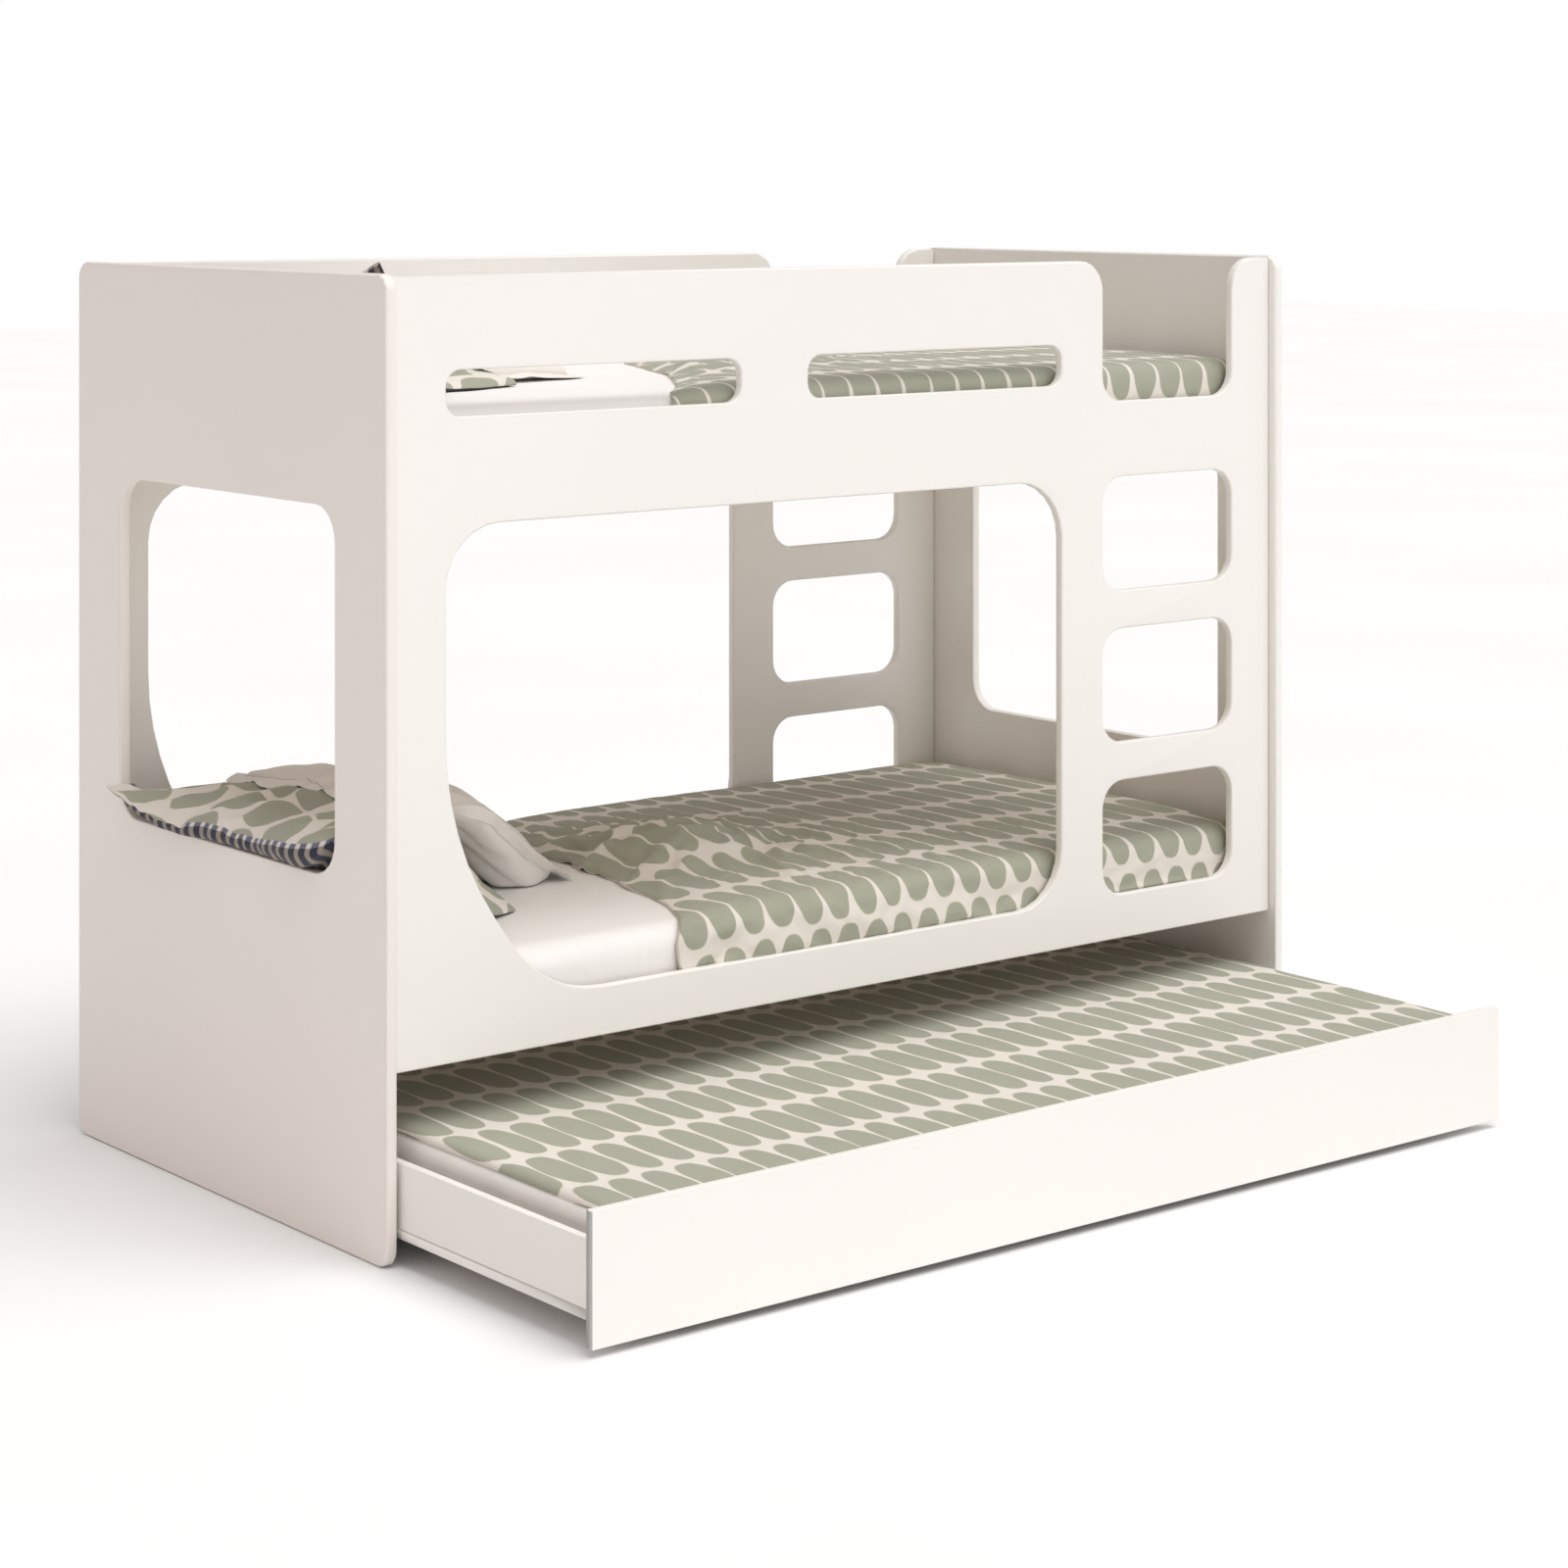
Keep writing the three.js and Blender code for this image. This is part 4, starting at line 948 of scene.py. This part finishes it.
# Floor and light
SKY_FRONT_LOW = (1.47, 1.455, 1.48)
SKY_FRONT = (0.50, 0.49, 0.50)
SKY_LEFT = (0.23, 0.165, 0.15)
SKY_RIGHT = (0.50, 0.49, 0.51)
SKY_BACK = (0.21, 0.19, 0.19)
SKY_TOP = (0.60, 0.59, 0.587)
SKY_HIGH_LEFT = (0.14, 0.13, 0.115)
SUN = 0.565
SUN_FROM = (0.14, -0.32, 0.93)


def make_floor():
    """A pale floor under everything, just below the castors."""
    mesh = bpy.data.meshes.new("floor")
    reach = 30.0
    mesh.from_pydata([(-reach, -reach, 0), (reach, -reach, 0), (reach, reach, 0), (-reach, reach, 0)],
                     [], [(0, 1, 2, 3)])
    g = Graph("floor")
    drift = g.ramp(g.noise(g.place(), 0.6, 2.0), 0.3, 0.7)
    tone = g.mix(drift, linear(250, 250, 250), linear(247, 247, 247))
    mesh.materials.append(g.finish(base_color=tone, roughness=0.9, specular_ior_level=0.1))
    made = bpy.data.objects.new("floor", mesh)
    made.location.z = -0.0005
    bpy.context.scene.collection.objects.link(made)


def make_sky():
    """Soft studio light, brightest low in front and overhead, and plain white where it is seen."""
    world = bpy.data.worlds.new("studio")
    bpy.context.scene.world = world
    g = Graph(world=world)
    x, y, z = g.split(g.add("ShaderNodeTexCoord", out="Generated"))
    front = g.mix(g.ramp(z, 0.08, 0.34), SKY_FRONT_LOW, SKY_FRONT)
    tone = g.mix(g.ramp(y, 0.6, -0.7), SKY_BACK, front)
    tone = g.mix(g.ramp(x, -0.2, -0.85), tone, SKY_LEFT)
    tone = g.mix(g.ramp(x, 0.2, 0.85), tone, SKY_RIGHT)
    tone = g.mix(g.ramp(z, 0.25, 0.9), tone, SKY_TOP)
    high = g.math("MULTIPLY", g.ramp(z, 0.2, 0.5), g.ramp(z, 0.95, 0.75))
    tone = g.mix(g.math("MULTIPLY", g.ramp(x, -0.15, -0.5), high), tone, SKY_HIGH_LEFT, "ADD")
    sky = g.add("ShaderNodeBackground", (tone, 1.0))
    white = g.add("ShaderNodeBackground", ((1.0, 1.0, 1.0), 1.0))
    seen = g.add("ShaderNodeLightPath", out="Is Camera Ray")
    both = g.add("ShaderNodeMixShader", (seen, sky, white))
    g.tree.links.new(both, g.output.inputs["Surface"])


def make_sun():
    light = bpy.data.lights.new("softbox", "SUN")
    light.energy = SUN * math.pi
    light.angle = math.radians(50)
    light.color = (1.0, 1.0, 0.99)
    made = bpy.data.objects.new("softbox", light)
    made.rotation_euler = Vector(SUN_FROM).to_track_quat("Z", "Y").to_euler()
    bpy.context.scene.collection.objects.link(made)


make_floor()
make_sky()
make_sun()
bpy.context.scene.view_settings.view_transform = "Standard"
